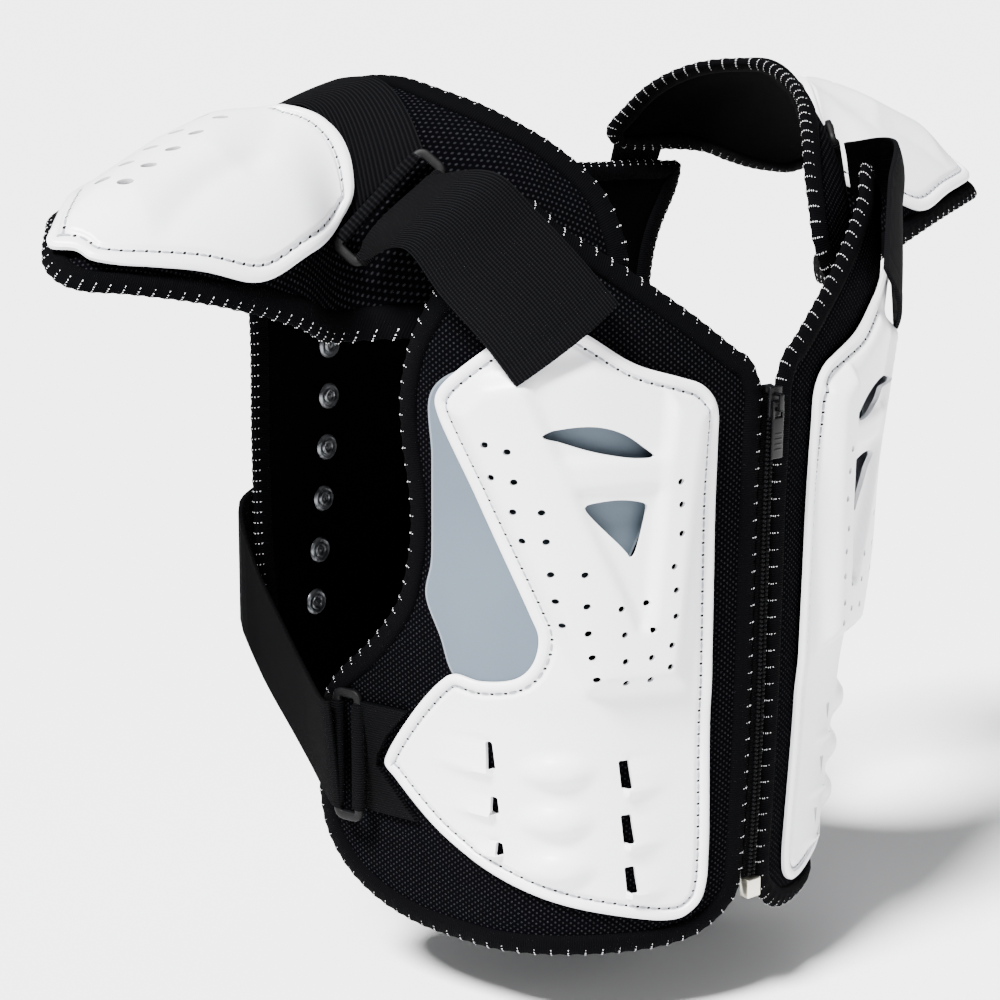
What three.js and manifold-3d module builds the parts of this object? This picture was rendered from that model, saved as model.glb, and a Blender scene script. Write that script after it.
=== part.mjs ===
// Motorcycle armour vest, shown worn: padded panels with bound edges, white moulded chest plates and
// shoulder caps, a front zip, and webbing straps through plastic rings.
// The origin is between the shoulders at shoulder height, +Z up, +X to the wearer's left, +Y to the back.
//
// Every piece of the front is drawn flat as (girth, drop): girth is the distance round the body from
// the zip, drop the height. bend() cuts the flat solid along a common grid and maps it onto the body.
import * as THREE from 'three';
import { mergeVertices } from 'three/addons/utils/BufferGeometryUtils.js';
import Module from 'manifold-3d';

const wasm = await Module();
wasm.setup();

// Driving dimensions, mm and degrees
const girth = 220; // zip to the side edge of a front panel, round the body
const drop = 372; // shoulder line to the front hem
const chestReach = 100; // shoulder line forward to the zip
const backReach = 106; // shoulder line back to the back panel
const span = 274; // centre line to the tip of a shoulder wing
const shoulderRise = 100; // height that the ridge of the wings is drawn in shares of
const backRadius = 700; // curve of the back panel, seen from above
const backHalfWidth = 124.5; // half width of the back panel at the armholes
const backDrop = 338; // shoulder line to the back hem

const pad = 4; // padded panel thickness
const bindingWidth = 9.5;
const bindingLip = 1.2; // how far the binding stands out from each face of a panel
const shell = 2.2; // moulded plate thickness
const backing = 0.6; // vent backing sheet
const gap = 0.35; // clearance between pieces side by side
const seat = 0.8; // clearance between curved sheets that lie on each other
const webbing = 50; // strap width
const strapThick = 2.2;
const zipGap = 5; // centre line to the bound edge of a front panel
const domeHeight = 8.5; // raised chest relief above the plate's flange
const veeDepth = 3; // recess between the arms of the chest relief
const domeLead = 5; // the slope of the dome starts this far outside its field
const domeSlope = 12; // width of that slope
const veeLead = 1;
const veeSlope = 7;
const bulgeHeight = 3.5; // padded ovals of the lower plate
const ribHeight = 2.6; // tapered ribs beside the slots
const ventBore = 2.3; // perforations of the plates
const capRise = 8; // crest of a shoulder cap above its rim
const capLead = 14;
const capSlope = 26;
const rivetHead = 12; // head diameter
const rivetPitch = 23.2;
const rivetShank = 4;
const zipTop = 127; // drop of the top of the slider
const zipBottom = 353; // drop of the lower end of the end box
const coil = 2.1; // width of each row of coils
const coilThick = 1.8;
const tapeThick = 1;
const tapeClear = 0.9; // the bindings lean in under the surface, so the tapes stop this far short
const slit = 0.2; // half the slit between the two halves of the zip
const sliderLong = 13;
const sliderPlate = 1.6;
const pullLong = 24;
const pullWide = 6.8;
const pullThick = 1.4;
const ringBar = 4; // width of a strap ring's bars
const ringSlot = 8;
const ringThick = 3;
const ringLift = 4.6; // flat rings stand off the curved panels
const ringTilt = 2.7; // the outer end of a shoulder ring stands off further
const bandThick = 0.9;

const cellWide = 20.4; // bending grid of the panels, twice as fine on the plates
const cellTall = 20;
const backCellWide = 41.5; // bending grid of the back panel and its shell
const backCellTall = 58;
const edgeStep = 19; // distance between the stations of an edge
const plateStep = 15; // the same for a plate's edge
const sheetStep = 24; // for the vent backing and the back panel
const shellStep = 30; // for the back shell
const snap = 0.05; // outline points this near to a grid line step aside
const rad = Math.PI / 180;

// Smooth interpolation in the rows of a table: the first column is the abscissa
function blend(rows, x) {
  const up = rows[0][0] < rows[rows.length - 1][0];
  const table = up ? rows : [...rows].reverse();
  const at = THREE.MathUtils.clamp(x, table[0][0], table[table.length - 1][0]);
  let i = 0;
  while (i < table.length - 2 && at > table[i + 1][0]) i += 1;
  const slope = (k, c) => {
    const a = table[Math.max(k - 1, 0)];
    const b = table[Math.min(k + 1, table.length - 1)];
    return (b[c] - a[c]) / (b[0] - a[0]);
  };
  const h = table[i + 1][0] - table[i][0];
  const t = (at - table[i][0]) / h;
  return table[0].slice(1).map((_, k) => {
    const c = k + 1;
    const p = table[i][c];
    const q = table[i + 1][c];
    const m = slope(i, c) * h;
    const n = slope(i + 1, c) * h;
    return p + t * (m + t * (3 * (q - p) - 2 * m - n + t * (2 * (p - q) + m + n)));
  });
}

// Plan sections of the chest: [drop, reach, keel angle, front turn, front run, side run]
// drop as a share of drop, reach of chestReach, runs of girth; the side ends at sideHeading
const sideHeading = 80;
const chestRows = [
  [0.08, 0.82, 4, 16.7, 0.445, 0.336],
  [0.161, 0.92, 4, 16.7, 0.445, 0.336],
  [0.228, 0.995, 5.5, 15.6, 0.418, 0.335],
  [0.296, 1.025, 7, 14.8, 0.395, 0.339],
  [0.376, 1.025, 8.5, 13.6, 0.364, 0.342],
  [0.473, 1.013, 9.5, 13.5, 0.341, 0.345],
  [0.591, 1.007, 10, 14, 0.336, 0.335],
  [0.707, 1, 10.5, 14.7, 0.318, 0.32],
  [0.831, 0.985, 11, 15.4, 0.291, 0.312],
  [0.946, 0.96, 11, 16.1, 0.282, 0.3],
  [1.022, 0.94, 11, 16.7, 0.282, 0.297],
];

// Point of the front at girth s, height z and depth d, which is positive outwards
function chest(s, z, d = 0) {
  const [reach, keel, turn, frontShare, sideShare] = blend(chestRows, -z / drop);
  const frontRun = frontShare * girth;
  const sideRun = sideShare * girth;
  const arc = (from, rate, length) => [
    (Math.sin(from + rate * length) - Math.sin(from)) / rate,
    (Math.cos(from) - Math.cos(from + rate * length)) / rate,
  ];
  const a = Math.abs(s);
  const start = keel * rad;
  const frontRate = (turn * rad) / frontRun;
  const first = Math.min(a, frontRun);
  const [x1, y1] = arc(start, frontRate, first);
  const corner = start + frontRate * first;
  const sideRate = (sideHeading * rad - start - turn * rad) / sideRun;
  const second = THREE.MathUtils.clamp(a - frontRun, 0, sideRun);
  const [x2, y2] = arc(corner, sideRate, second);
  const heading = corner + sideRate * second;
  const rest = Math.max(a - frontRun - sideRun, 0);
  const x = x1 + x2 + rest * Math.cos(heading) + d * Math.sin(heading);
  const y = y1 + y2 + rest * Math.sin(heading) - d * Math.cos(heading);
  return new THREE.Vector3(s < 0 ? -x : x, y - reach * chestReach, z);
}

// The back is a shallow board: [drop, reach] as shares of drop and backReach
const backRows = [[0.05, 0.9], [0.125, 0.945], [0.27, 1], [0.51, 1], [0.75, 0.945], [0.95, 0.9]];
function spine(s, z, d = 0) {
  const [reach] = blend(backRows, -z / drop);
  const a = s / backRadius;
  const r = backRadius + d;
  return new THREE.Vector3(r * Math.sin(a), reach * backReach - backRadius + r * Math.cos(a), z);
}

// Stations of a shoulder wing, from the neck to the tip:
// [out, ridge back, ridge up, front foot forward, front foot down, rear foot back, rear foot down]
// out as a share of span, heights of shoulderRise, lengths forward of chestReach, back of backReach
const wingRows = [
  [0.143, 0.02, 0.11, 0.825, 0.96, 0.915, 0.52],
  [0.204, 0.04, 0.09, 0.78, 0.98, 0.896, 0.52],
  [0.286, 0.065, 0.06, 0.72, 1, 0.887, 0.48],
  [0.358, 0.085, 0.02, 0.625, 1.02, 0.868, 0.47],
  [0.44, 0.15, -0.04, 0.295, 1.05, 0.84, 0.48],
  [0.53, 0.235, -0.135, 0.035, 1.07, 0.774, 0.5],
  [0.639, 0.292, -0.25, 0.14, 0.99, 0.82, 0.58],
  [0.766, 0.33, -0.38, 0.12, 0.88, 0.85, 0.65],
  [0.876, 0.358, -0.49, 0.06, 0.83, 0.83, 0.71],
  [0.967, 0.387, -0.6, 0, 0.8, 0.79, 0.74],
  [1.022, 0.396, -0.67, -0.03, 0.8, 0.755, 0.76],
];

// Half lengths of a wing's front and rear arches at x
function arches(x) {
  const [back, up, foreY, foreZ, rearY, rearZ] = blend(wingRows, Math.abs(x) / span);
  const ridge = [back * backReach, up * shoulderRise];
  const fore = [ridge[0] + foreY * chestReach, ridge[1] + foreZ * shoulderRise];
  const rear = [rearY * backReach - ridge[0], ridge[1] + rearZ * shoulderRise];
  const half = ([w, h]) => (Math.PI / 2) * Math.sqrt((w * w + h * h) / 2);
  return { ridge, fore, rear, foreLength: half(fore), rearLength: half(rear) };
}

// Point of a wing at distance x from the centre line and length v along its arch, front negative
function wingSkin(x, v) {
  const { ridge, fore, rear, foreLength, rearLength } = arches(x);
  const [w, h] = v < 0 ? fore : rear;
  const t = (Math.PI / 2) * (Math.abs(v) / (v < 0 ? foreLength : rearLength));
  return new THREE.Vector3(x, ridge[0] + Math.sign(v) * w * Math.sin(t), ridge[1] - h * (1 - Math.cos(t)));
}
function wing(x, v, d = 0) {
  const e = 0.5;
  const across = wingSkin(x + e, v).sub(wingSkin(x - e, v));
  const along = wingSkin(x, v + e).sub(wingSkin(x, v - e));
  return wingSkin(x, v).addScaledVector(across.cross(along).normalize(), d);
}

// Joins points that lie within a tolerance of each other and drops the triangles that this flattens
function weld(points, faces, tolerance = 2e-4) {
  const bins = new Map();
  const kept = [];
  const cellOf = (p) => p.toArray().map((c) => Math.floor(c / tolerance));
  const swap = points.map((p) => {
    const [i, j, k] = cellOf(p);
    for (let n = 0; n < 27; n += 1) {
      const key = `${i - 1 + (n % 3)},${j - 1 + (Math.floor(n / 3) % 3)},${k - 1 + Math.floor(n / 9)}`;
      const found = bins.get(key);
      if (found !== undefined && kept[found].distanceTo(p) < tolerance) return found;
    }
    bins.set([i, j, k].join(), kept.length);
    kept.push(p);
    return kept.length - 1;
  });
  const triangles = faces.map((f) => f.map((v) => swap[v]));
  return [kept, triangles.filter(([x, y, z]) => x !== y && y !== z && z !== x)];
}

// Closed surface from points and triangles, turned so that its faces point out
function closed(points, faces) {
  const [kept, triangles] = weld(points, faces);
  let volume = 0;
  for (const [a, b, c] of triangles) {
    volume += kept[a].dot(new THREE.Vector3().crossVectors(kept[b], kept[c]));
  }
  const g = new THREE.BufferGeometry();
  g.setAttribute('position', new THREE.Float32BufferAttribute(kept.flatMap((p) => p.toArray()), 3));
  g.setIndex(triangles.flatMap(([a, b, c]) => (volume > 0 ? [a, b, c] : [a, c, b])));
  return g;
}

// A three.js geometry as a manifold solid
function toSolid(geometry) {
  const g = geometry.clone();
  g.deleteAttribute('normal');
  g.deleteAttribute('uv');
  const m = mergeVertices(g, 1e-4);
  return new wasm.Manifold(new wasm.Mesh({
    numProp: 3,
    vertProperties: new Float32Array(m.attributes.position.array),
    triVerts: new Uint32Array(m.index.array),
  }));
}

const mirrored = (g) => {
  const m = g.clone().applyMatrix4(new THREE.Matrix4().makeScale(-1, 1, 1));
  const index = m.index.array;
  for (let i = 0; i < index.length; i += 3) [index[i + 1], index[i + 2]] = [index[i + 2], index[i + 1]];
  return m;
};

// Rounded closed outline through a table of [a, b] rows, as evenly spaced points
function outline(rows, step = edgeStep) {
  const curve = new THREE.CatmullRomCurve3(rows.map(([a, b]) => new THREE.Vector3(a, b, 0)), true);
  const n = Math.max(12, Math.round(curve.getLength() / step));
  curve.arcLengthDivisions = 12 * n;
  curve.updateArcLengths();
  return curve.getSpacedPoints(n).slice(0, n).map((p) => new THREE.Vector2(p.x, p.y));
}

// Outline moved inwards by a distance
function inset(points, distance) {
  const turn = Math.sign(THREE.ShapeUtils.area(points));
  const n = points.length;
  return points.map((p, i) => {
    const before = p.clone().sub(points[(i + n - 1) % n]).normalize();
    const after = points[(i + 1) % n].clone().sub(p).normalize();
    const normal = new THREE.Vector2(-before.y - after.y, before.x + after.x).normalize();
    const stretch = 1 / Math.max(0.5, normal.dot(new THREE.Vector2(-after.y, after.x)));
    return p.clone().addScaledVector(normal, turn * distance * stretch);
  });
}

const ring = (a, b, radius, sides = 6) => Array.from({ length: sides }, (_, i) => {
  const t = (i / sides) * 2 * Math.PI;
  return new THREE.Vector2(a + radius * Math.cos(t), b + radius * Math.sin(t));
});

const prism = (points, low, high) => toSolid(new THREE.ExtrudeGeometry(
  new THREE.Shape(points), { depth: high - low, bevelEnabled: false, steps: 1 },
).translate(0, 0, low));

// Flat sheet cut into cells along a grid, pierced, and mapped by place(a, b, depth)
function bend(points, holes, low, high, [wide, tall], place) {
  const lines = (key, size) => {
    const all = points.map((p) => p[key]);
    const first = Math.ceil(Math.min(...all) / size + 0.02);
    const last = Math.floor(Math.max(...all) / size - 0.02);
    return Array.from({ length: Math.max(0, last - first + 1) }, (_, i) => (first + i) * size);
  };
  const grid = [lines('x', wide), Array.isArray(tall) ? tall : lines('y', tall)];
  const aside = (value, places) => {
    const at = places.find((line) => Math.abs(value - line) < snap);
    return at === undefined ? value : at + snap;
  };
  const settle = (p) => new THREE.Vector2(aside(p.x, grid[0]), aside(p.y, grid[1]));
  const cut = (solid, normal, places) => {
    const pieces = [];
    let rest = solid;
    for (const at of places) {
      const [above, below] = rest.splitByPlane(normal, at);
      pieces.push(below);
      rest = above;
    }
    return [...pieces, rest].filter((piece) => !piece.isEmpty());
  };
  const cutters = holes.map((hole) => {
    const settled = hole.map(settle);
    return { box: new THREE.Box2().setFromPoints(settled), solid: prism(settled, low - 1, high + 1) };
  });
  const flat = [];
  const faces = [];
  const snapTo = (value, axis) => grid[axis].find((at) => Math.abs(value - at) < 2e-4) ?? value;
  const onGrid = (p, axis) => (grid[axis].includes(p.getComponent(axis)) ? p.getComponent(axis) : undefined);
  for (const strip of cut(prism(points.map(settle), low, high), [1, 0, 0], grid[0])) {
    for (const whole of cut(strip, [0, 1, 0], grid[1])) {
      const { min, max } = whole.boundingBox();
      const cellBox = new THREE.Box2(new THREE.Vector2(min[0], min[1]), new THREE.Vector2(max[0], max[1]));
      const cell = cutters.filter(({ box }) => box.intersectsBox(cellBox))
        .reduce((solid, cutter) => solid.subtract(cutter.solid), whole);
      const { vertProperties: v, triVerts } = cell.getMesh();
      const base = flat.length;
      for (let i = 0; i < v.length; i += 3) {
        flat.push(new THREE.Vector3(snapTo(v[i], 0), snapTo(v[i + 1], 1), v[i + 2]));
      }
      for (let i = 0; i < triVerts.length; i += 3) {
        const tri = [...triVerts.slice(i, i + 3)].map((k) => base + k);
        const inner = [0, 1].some((axis) => {
          const at = onGrid(flat[tri[0]], axis);
          return at !== undefined && tri.every((k) => flat[k].getComponent(axis) === at);
        });
        if (!inner) faces.push(tri);
      }
    }
  }
  const [kept, triangles] = weld(flat, faces);
  return closed(kept.map((p) => place(p.x, p.y, p.z)), match(kept, triangles, grid));
}

// Splits triangles whose edge on a grid line passes another triangle's corner
function match(points, triangles, grid) {
  const corners = new Map();
  const keys = (p) => [0, 1].filter((axis) => grid[axis].includes(p.getComponent(axis)))
    .map((axis) => `${axis} ${p.getComponent(axis)} ${p.z.toFixed(3)}`);
  points.forEach((p, i) => {
    for (const key of keys(p)) corners.set(key, [...(corners.get(key) ?? []), i]);
  });
  const between = (a, b) => {
    const shared = keys(points[a]).find((key) => keys(points[b]).includes(key));
    if (shared === undefined) return undefined;
    const other = 1 - Number(shared[0]);
    const [from, to] = [a, b].map((k) => points[k].getComponent(other)).sort((x, y) => x - y);
    return corners.get(shared).find((k) => {
      const c = points[k].getComponent(other);
      return k !== a && k !== b && c > from && c < to;
    });
  };
  const done = [];
  const open = [...triangles];
  while (open.length) {
    const tri = open.pop();
    const e = [0, 1, 2].find((k) => between(tri[k], tri[(k + 1) % 3]) !== undefined);
    if (e === undefined) {
      done.push(tri);
    } else {
      const [a, b, c] = [tri[e], tri[(e + 1) % 3], tri[(e + 2) % 3]];
      const m = between(a, b);
      open.push([a, m, c], [m, b, c]);
    }
  }
  return done;
}

// Closed or open band swept through stations, each a list of section points
function sweep(stations, loop) {
  const k = stations[0].length;
  const faces = [];
  const n = stations.length;
  for (let i = 0; i < (loop ? n : n - 1); i += 1) {
    const j = (i + 1) % n;
    for (let c = 0; c < k; c += 1) {
      const d = (c + 1) % k;
      faces.push([i * k + c, j * k + c, j * k + d], [i * k + c, j * k + d, i * k + d]);
    }
  }
  if (!loop) {
    for (let c = 1; c < k - 1; c += 1) {
      faces.push([0, c, c + 1], [(n - 1) * k, (n - 1) * k + c + 1, (n - 1) * k + c]);
    }
  }
  return closed(stations.flat(), faces);
}

// Folded tape round a panel's edge, between the outline and its inset
function bind(points, form) {
  const inner = inset(points, bindingWidth);
  const high = bindingLip;
  const low = -pad - bindingLip;
  return sweep(points.map((p, i) => [
    form(p.x, p.y, high - bindingLip), form(inner[i].x, inner[i].y, high),
    form(inner[i].x, inner[i].y, low), form(p.x, p.y, low + bindingLip),
  ]), true);
}

const panel = (points, form) => bend(
  inset(points, bindingWidth + seat), [], -pad, 0, [cellWide, cellTall], form,
);

// Front panel outline: [girth, drop] as shares of girth and drop, measured past zipGap
const panelEdge = [
  [0, 0.345], [0.03, 0.308], [0.06, 0.297], [0.15, 0.258], [0.253, 0.216], [0.347, 0.178],
  [0.415, 0.151], [0.46, 0.124], [0.51, 0.118], [0.555, 0.14], [0.66, 0.205], [0.71, 0.243],
  [0.752, 0.285], [0.776, 0.344], [0.772, 0.395], [0.75, 0.464], [0.748, 0.508], [0.758, 0.545],
  [0.776, 0.582], [0.81, 0.613], [0.865, 0.65], [0.935, 0.688], [0.98, 0.724], [1, 0.78],
  [0.998, 0.86], [0.977, 0.906], [0.925, 0.946], [0.847, 0.975], [0.737, 0.994], [0.58, 1],
  [0.356, 0.997], [0.165, 0.994], [0.095, 0.985], [0.04, 0.965], [0.008, 0.942], [0, 0.91],
  [0, 0.88], [0, 0.75], [0, 0.55], [0, 0.4], [0, 0.37],
];
const frontEdge = outline(panelEdge.map(([s, z]) => [zipGap + s * (girth - zipGap), -z * drop]));

// Chest plate outline, as shares of girth and drop
const plateEdge = [
  [0.41, 0.266], [0.316, 0.301], [0.214, 0.321], [0.177, 0.329], [0.15, 0.343], [0.136, 0.361],
  [0.134, 0.395], [0.131, 0.506], [0.124, 0.738], [0.113, 0.88], [0.114, 0.92], [0.125, 0.941],
  [0.157, 0.956], [0.194, 0.958], [0.31, 0.944], [0.441, 0.924], [0.586, 0.891], [0.675, 0.864],
  [0.734, 0.838], [0.785, 0.811], [0.812, 0.796], [0.806, 0.782], [0.733, 0.716], [0.662, 0.671],
  [0.635, 0.661], [0.58, 0.665], [0.514, 0.659], [0.489, 0.648], [0.474, 0.63], [0.471, 0.606],
  [0.487, 0.582], [0.591, 0.452], [0.678, 0.356], [0.683, 0.34], [0.67, 0.324], [0.592, 0.282],
  [0.492, 0.238],
];
const backingEdge = [
  [0.705, 0.335], [0.696, 0.41], [0.691, 0.505], [0.693, 0.534], [0.706, 0.572], [0.66, 0.62],
  [0.615, 0.652], [0.56, 0.656], [0.5, 0.65], [0.44, 0.63], [0.33, 0.55], [0.265, 0.46],
  [0.25, 0.39], [0.3, 0.345], [0.42, 0.315], [0.57, 0.3], [0.66, 0.312],
];
const onFront = (rows) => rows.map(([s, z]) => [s * girth, -z * drop]);
const point = ([s, z]) => new THREE.Vector2(s * girth, -z * drop);

// Raised relief of the chest plate
// Convex fields of the dome and of the recess between its arms, as shares of girth and drop
const domeField = [[0.165, 0.36], [0.4, 0.29], [0.6, 0.315], [0.645, 0.35], [0.375, 0.668], [0.2, 0.668]];
const veeField = [[0.235, 0.25], [0.56, 0.27], [0.3, 0.6], [0.27, 0.6]];
const barDrop = 0.42; // cross-bar of the recess
const barHalf = 0.016;
const bulges = [[0.425, 0.768], [0.422, 0.829], [0.413, 0.887]];
const bulgeHalf = [0.083, 0.027]; // half width of girth, half height of drop
// Slots: [girth, drop of the top, drop of the bottom, reach of the rib beside it]
const slotRows = [
  [0.553, 0.737, 0.771, 0.16], [0.54, 0.805, 0.826, 0.12], [0.526, 0.861, 0.876, 0.08],
  [0.298, 0.756, 0.79, -0.1], [0.287, 0.822, 0.857, -0.1], [0.274, 0.886, 0.918, -0.1],
];
const slotWidth = 2.4;

// Distance inside a convex field, negative outside
function within(field, s, z) {
  const corners = field.map(point);
  const turn = Math.sign(THREE.ShapeUtils.area(corners));
  return Math.min(...corners.map((a, i) => {
    const b = corners[(i + 1) % corners.length];
    const side = b.clone().sub(a).normalize();
    return turn * side.cross(new THREE.Vector2(s, z).sub(a));
  }));
}
const ramp = (x) => THREE.MathUtils.smoothstep(x, 0, 1);
function relief(s, z) {
  const dome = domeHeight * ramp((within(domeField, s, z) + domeLead) / domeSlope);
  const bar = 0.6 * ramp(1.6 - Math.abs(-z / drop - barDrop) / barHalf);
  const arms = ramp((within(veeField, s, z) + veeLead) / veeSlope);
  const vee = (veeDepth * dome / domeHeight) * arms * (1 - bar);
  let low = 0;
  for (const [a, b] of bulges) {
    const r = Math.hypot((s / girth - a) / bulgeHalf[0], (-z / drop - b) / bulgeHalf[1]);
    low = Math.max(low, bulgeHeight * ramp(1.25 * (1 - r)));
  }
  for (const [a, top, bottom, reach] of slotRows) {
    const along = (s / girth - a) / reach;
    const middle = (top + bottom) / 2;
    const off = Math.abs(-z / drop - middle) / (bottom - top);
    if (along > 0) low = Math.max(low, ribHeight * ramp(1 - along) * ramp(1.6 - 1.6 * off));
  }
  return dome - vee + low;
}

// Perforations of a chest plate, as shares of girth and drop
const vents = [
  [0.572, 0.384], [0.535, 0.391], [0.558, 0.421], [0.52, 0.425], [0.518, 0.459], [0.472, 0.459],
  [0.501, 0.492], [0.462, 0.492], [0.453, 0.529], [0.398, 0.53], [0.444, 0.56], [0.393, 0.566],
  [0.335, 0.571], [0.281, 0.569], [0.23, 0.432], [0.225, 0.458], [0.222, 0.491], [0.235, 0.528],
  [0.229, 0.555], [0.228, 0.585], [0.234, 0.618], [0.235, 0.643], [0.431, 0.589], [0.389, 0.597],
  [0.327, 0.601], [0.271, 0.599], [0.38, 0.625], [0.323, 0.632], [0.273, 0.63], [0.369, 0.652],
  [0.318, 0.658], [0.272, 0.656],
];
const lens = [
  [0.483, 0.373], [0.44, 0.366], [0.39, 0.366], [0.34, 0.376], [0.3, 0.392], [0.279, 0.403],
  [0.31, 0.404], [0.37, 0.398], [0.43, 0.387],
];
const triangle = [
  [0.395, 0.457], [0.365, 0.452], [0.325, 0.452], [0.284, 0.461], [0.3, 0.5], [0.31, 0.517], [0.322, 0.515],
];
const slots = slotRows.map(([s, top, bottom]) => {
  const a = s * girth;
  return [
    [a - slotWidth / 2, -top * drop], [a + slotWidth / 2, -top * drop],
    [a + slotWidth / 2, -bottom * drop], [a - slotWidth / 2, -bottom * drop],
  ].map(([u, v]) => new THREE.Vector2(u, v));
});
// Grid rows of the plate: even above, on the crests and hollows of the ovals below
const plateRows = [
  0.93, 0.908, 0.887, 0.858, 0.829, 0.799, 0.768, 0.737, 0.7, 0.67, 0.638, 0.592, 0.545, 0.498, 0.451,
  0.405, 0.362, 0.325, 0.29,
].map((z) => -z * drop);

// The plate lies on the panel below and over the vent backing above
const plateSeat = (z) => seat + (gap + backing) * ramp((z / drop + 0.72) / 0.05);
const onPlate = (s, z, d) => chest(s, z, d + plateSeat(z) + relief(s, z));
const holes = [
  ...vents.map(([s, z]) => ring(s * girth, -z * drop, ventBore / 2, 5)),
  lens.map(point), triangle.map(point), ...slots,
];
const plateSolid = bend(
  outline(onFront(plateEdge), plateStep), holes, 0, shell, [(cellWide * 2) / 3, plateRows], onPlate,
);
const ventSheet = bend(
  outline(onFront(backingEdge), sheetStep), [], seat, seat + backing, [cellWide, cellTall], chest,
);

// Shoulder wing outline: [out, arch] as shares of span and of the arch, front negative
const wingEdge = [
  [0.325, 0.86], [0.342, 0.7], [0.352, 0.5], [0.365, 0.25], [0.385, 0], [0.375, -0.18],
  [0.33, -0.36], [0.275, -0.51], [0.228, -0.65], [0.213, -0.75], [0.21, -0.85], [0.245, -0.955],
  [0.31, -0.985], [0.4, -0.985], [0.5, -0.985], [0.62, -0.985], [0.74, -0.965], [0.84, -0.93],
  [0.92, -0.87], [0.975, -0.76], [0.998, -0.55], [0.995, -0.3], [0.965, -0.05], [0.925, 0.18],
  [0.885, 0.42], [0.845, 0.7], [0.795, 0.93], [0.72, 0.985], [0.62, 0.985], [0.53, 0.985], [0.44, 0.985],
  [0.38, 0.985], [0.345, 0.95],
];
const onWing = (rows) => rows.map(([a, t]) => {
  const { foreLength, rearLength } = arches(a * span);
  return [a * span, t * (t < 0 ? foreLength : rearLength)];
});
const wingOutline = outline(onWing(wingEdge));

// Shoulder cap outline and its raised crest
const capEdge = [
  [0.978, -0.28], [0.958, -0.42], [0.952, -0.55], [0.925, -0.65], [0.882, -0.71], [0.814, -0.77],
  [0.74, -0.83], [0.708, -0.81], [0.647, -0.73], [0.55, -0.64], [0.515, -0.58], [0.506, -0.48],
  [0.509, -0.35], [0.524, -0.22], [0.545, -0.08], [0.562, 0.1], [0.59, 0.3], [0.635, 0.42],
  [0.71, 0.46], [0.785, 0.4], [0.85, 0.26], [0.905, 0.06], [0.95, -0.13],
];
const capField = [
  [0.93, -0.2], [0.87, 0.02], [0.73, 0.22], [0.62, 0.22], [0.6, 0.02], [0.7, -0.26], [0.85, -0.36],
];
const capVents = [
  [0.836, -0.14], [0.792, -0.02], [0.735, 0.06], [0.688, 0.12], [0.642, 0.17],
  [0.63, 0.06], [0.683, -0.01], [0.734, -0.07], [0.781, -0.12], [0.819, -0.22],
];
const capCorners = onWing(capField).map(([a, b]) => new THREE.Vector2(a, b));
function capRelief(x, v) {
  const turn = Math.sign(THREE.ShapeUtils.area(capCorners));
  const inside = Math.min(...capCorners.map((a, i) => {
    const side = capCorners[(i + 1) % capCorners.length].clone().sub(a).normalize();
    return turn * side.cross(new THREE.Vector2(x, v).sub(a));
  }));
  return capRise * ramp((inside + capLead) / capSlope);
}
const capSolid = bend(
  outline(onWing(capEdge), plateStep),
  onWing(capVents).map(([a, b]) => ring(a, b, ventBore / 2 + 0.3, 5)),
  0, shell, [cellWide / 2, (cellTall * 2) / 3],
  (x, v, d) => wing(x, v, d + 3 * seat + bindingLip + capRelief(x, v)),
);

// Back panel outline: half of it, [half width, drop] as shares, then mirrored
const backHalf = [
  [0, 0.125], [0.35, 0.128], [0.62, 0.138], [0.9, 0.14], [1.02, 0.142], [1.1, 0.146], [1.1, 0.175],
  [1.03, 0.24], [1, 0.3], [1, 0.45], [1, 0.6], [0.97, 0.72], [0.86, 0.8], [0.7, 0.86], [0.35, 0.895],
];
const bothHalves = (half, lowest) => [
  ...half, [0, lowest], ...half.slice(1).reverse().map(([a, b]) => [-a, b]),
].map(([a, b]) => [a * backHalfWidth, -b * drop]);
const backEdge = outline(bothHalves(backHalf, backDrop / drop), sheetStep);

// Rivets hold a plain hard shell on the outer face of the back panel
const rivetDrop = 0.336; // drop of the top rivet, as a share of drop
const rivetRows = Array.from({ length: 6 }, (_, i) => [
  0.62 + 0.125 * (1 - Math.cos((i / 5) * Math.PI / 2)) * 0.9, -rivetDrop * drop - i * rivetPitch,
]).map(([a, z]) => [a * backHalfWidth, z]);
const shellHalf = [
  [0, 0.2], [0.45, 0.215], [0.72, 0.26], [0.84, 0.34], [0.86, 0.5], [0.84, 0.66], [0.7, 0.75], [0.4, 0.795],
];
const shellLowest = 0.81;
const rivetHoles = rivetRows.flatMap(([a, z]) => [-1, 1].map((k) => ring(k * a, z, rivetShank / 2 + gap)));
const backCell = [backCellWide, backCellTall];
const backCore = bend(inset(backEdge, bindingWidth + seat), rivetHoles, -pad, 0, backCell, spine);
const backShell = bend(
  outline(bothHalves(shellHalf, shellLowest), shellStep), rivetHoles, seat, seat + shell, backCell, spine,
);

// Closed surface of revolution about Y
function turned(profile, sides) {
  const g = new THREE.LatheGeometry(profile, sides);
  const p = g.attributes.position;
  const points = Array.from({ length: p.count }, (_, i) => new THREE.Vector3().fromBufferAttribute(p, i));
  const index = [...g.index.array];
  return closed(points, index.flatMap((_, i) => (i % 3 ? [] : [index.slice(i, i + 3)])));
}

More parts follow.
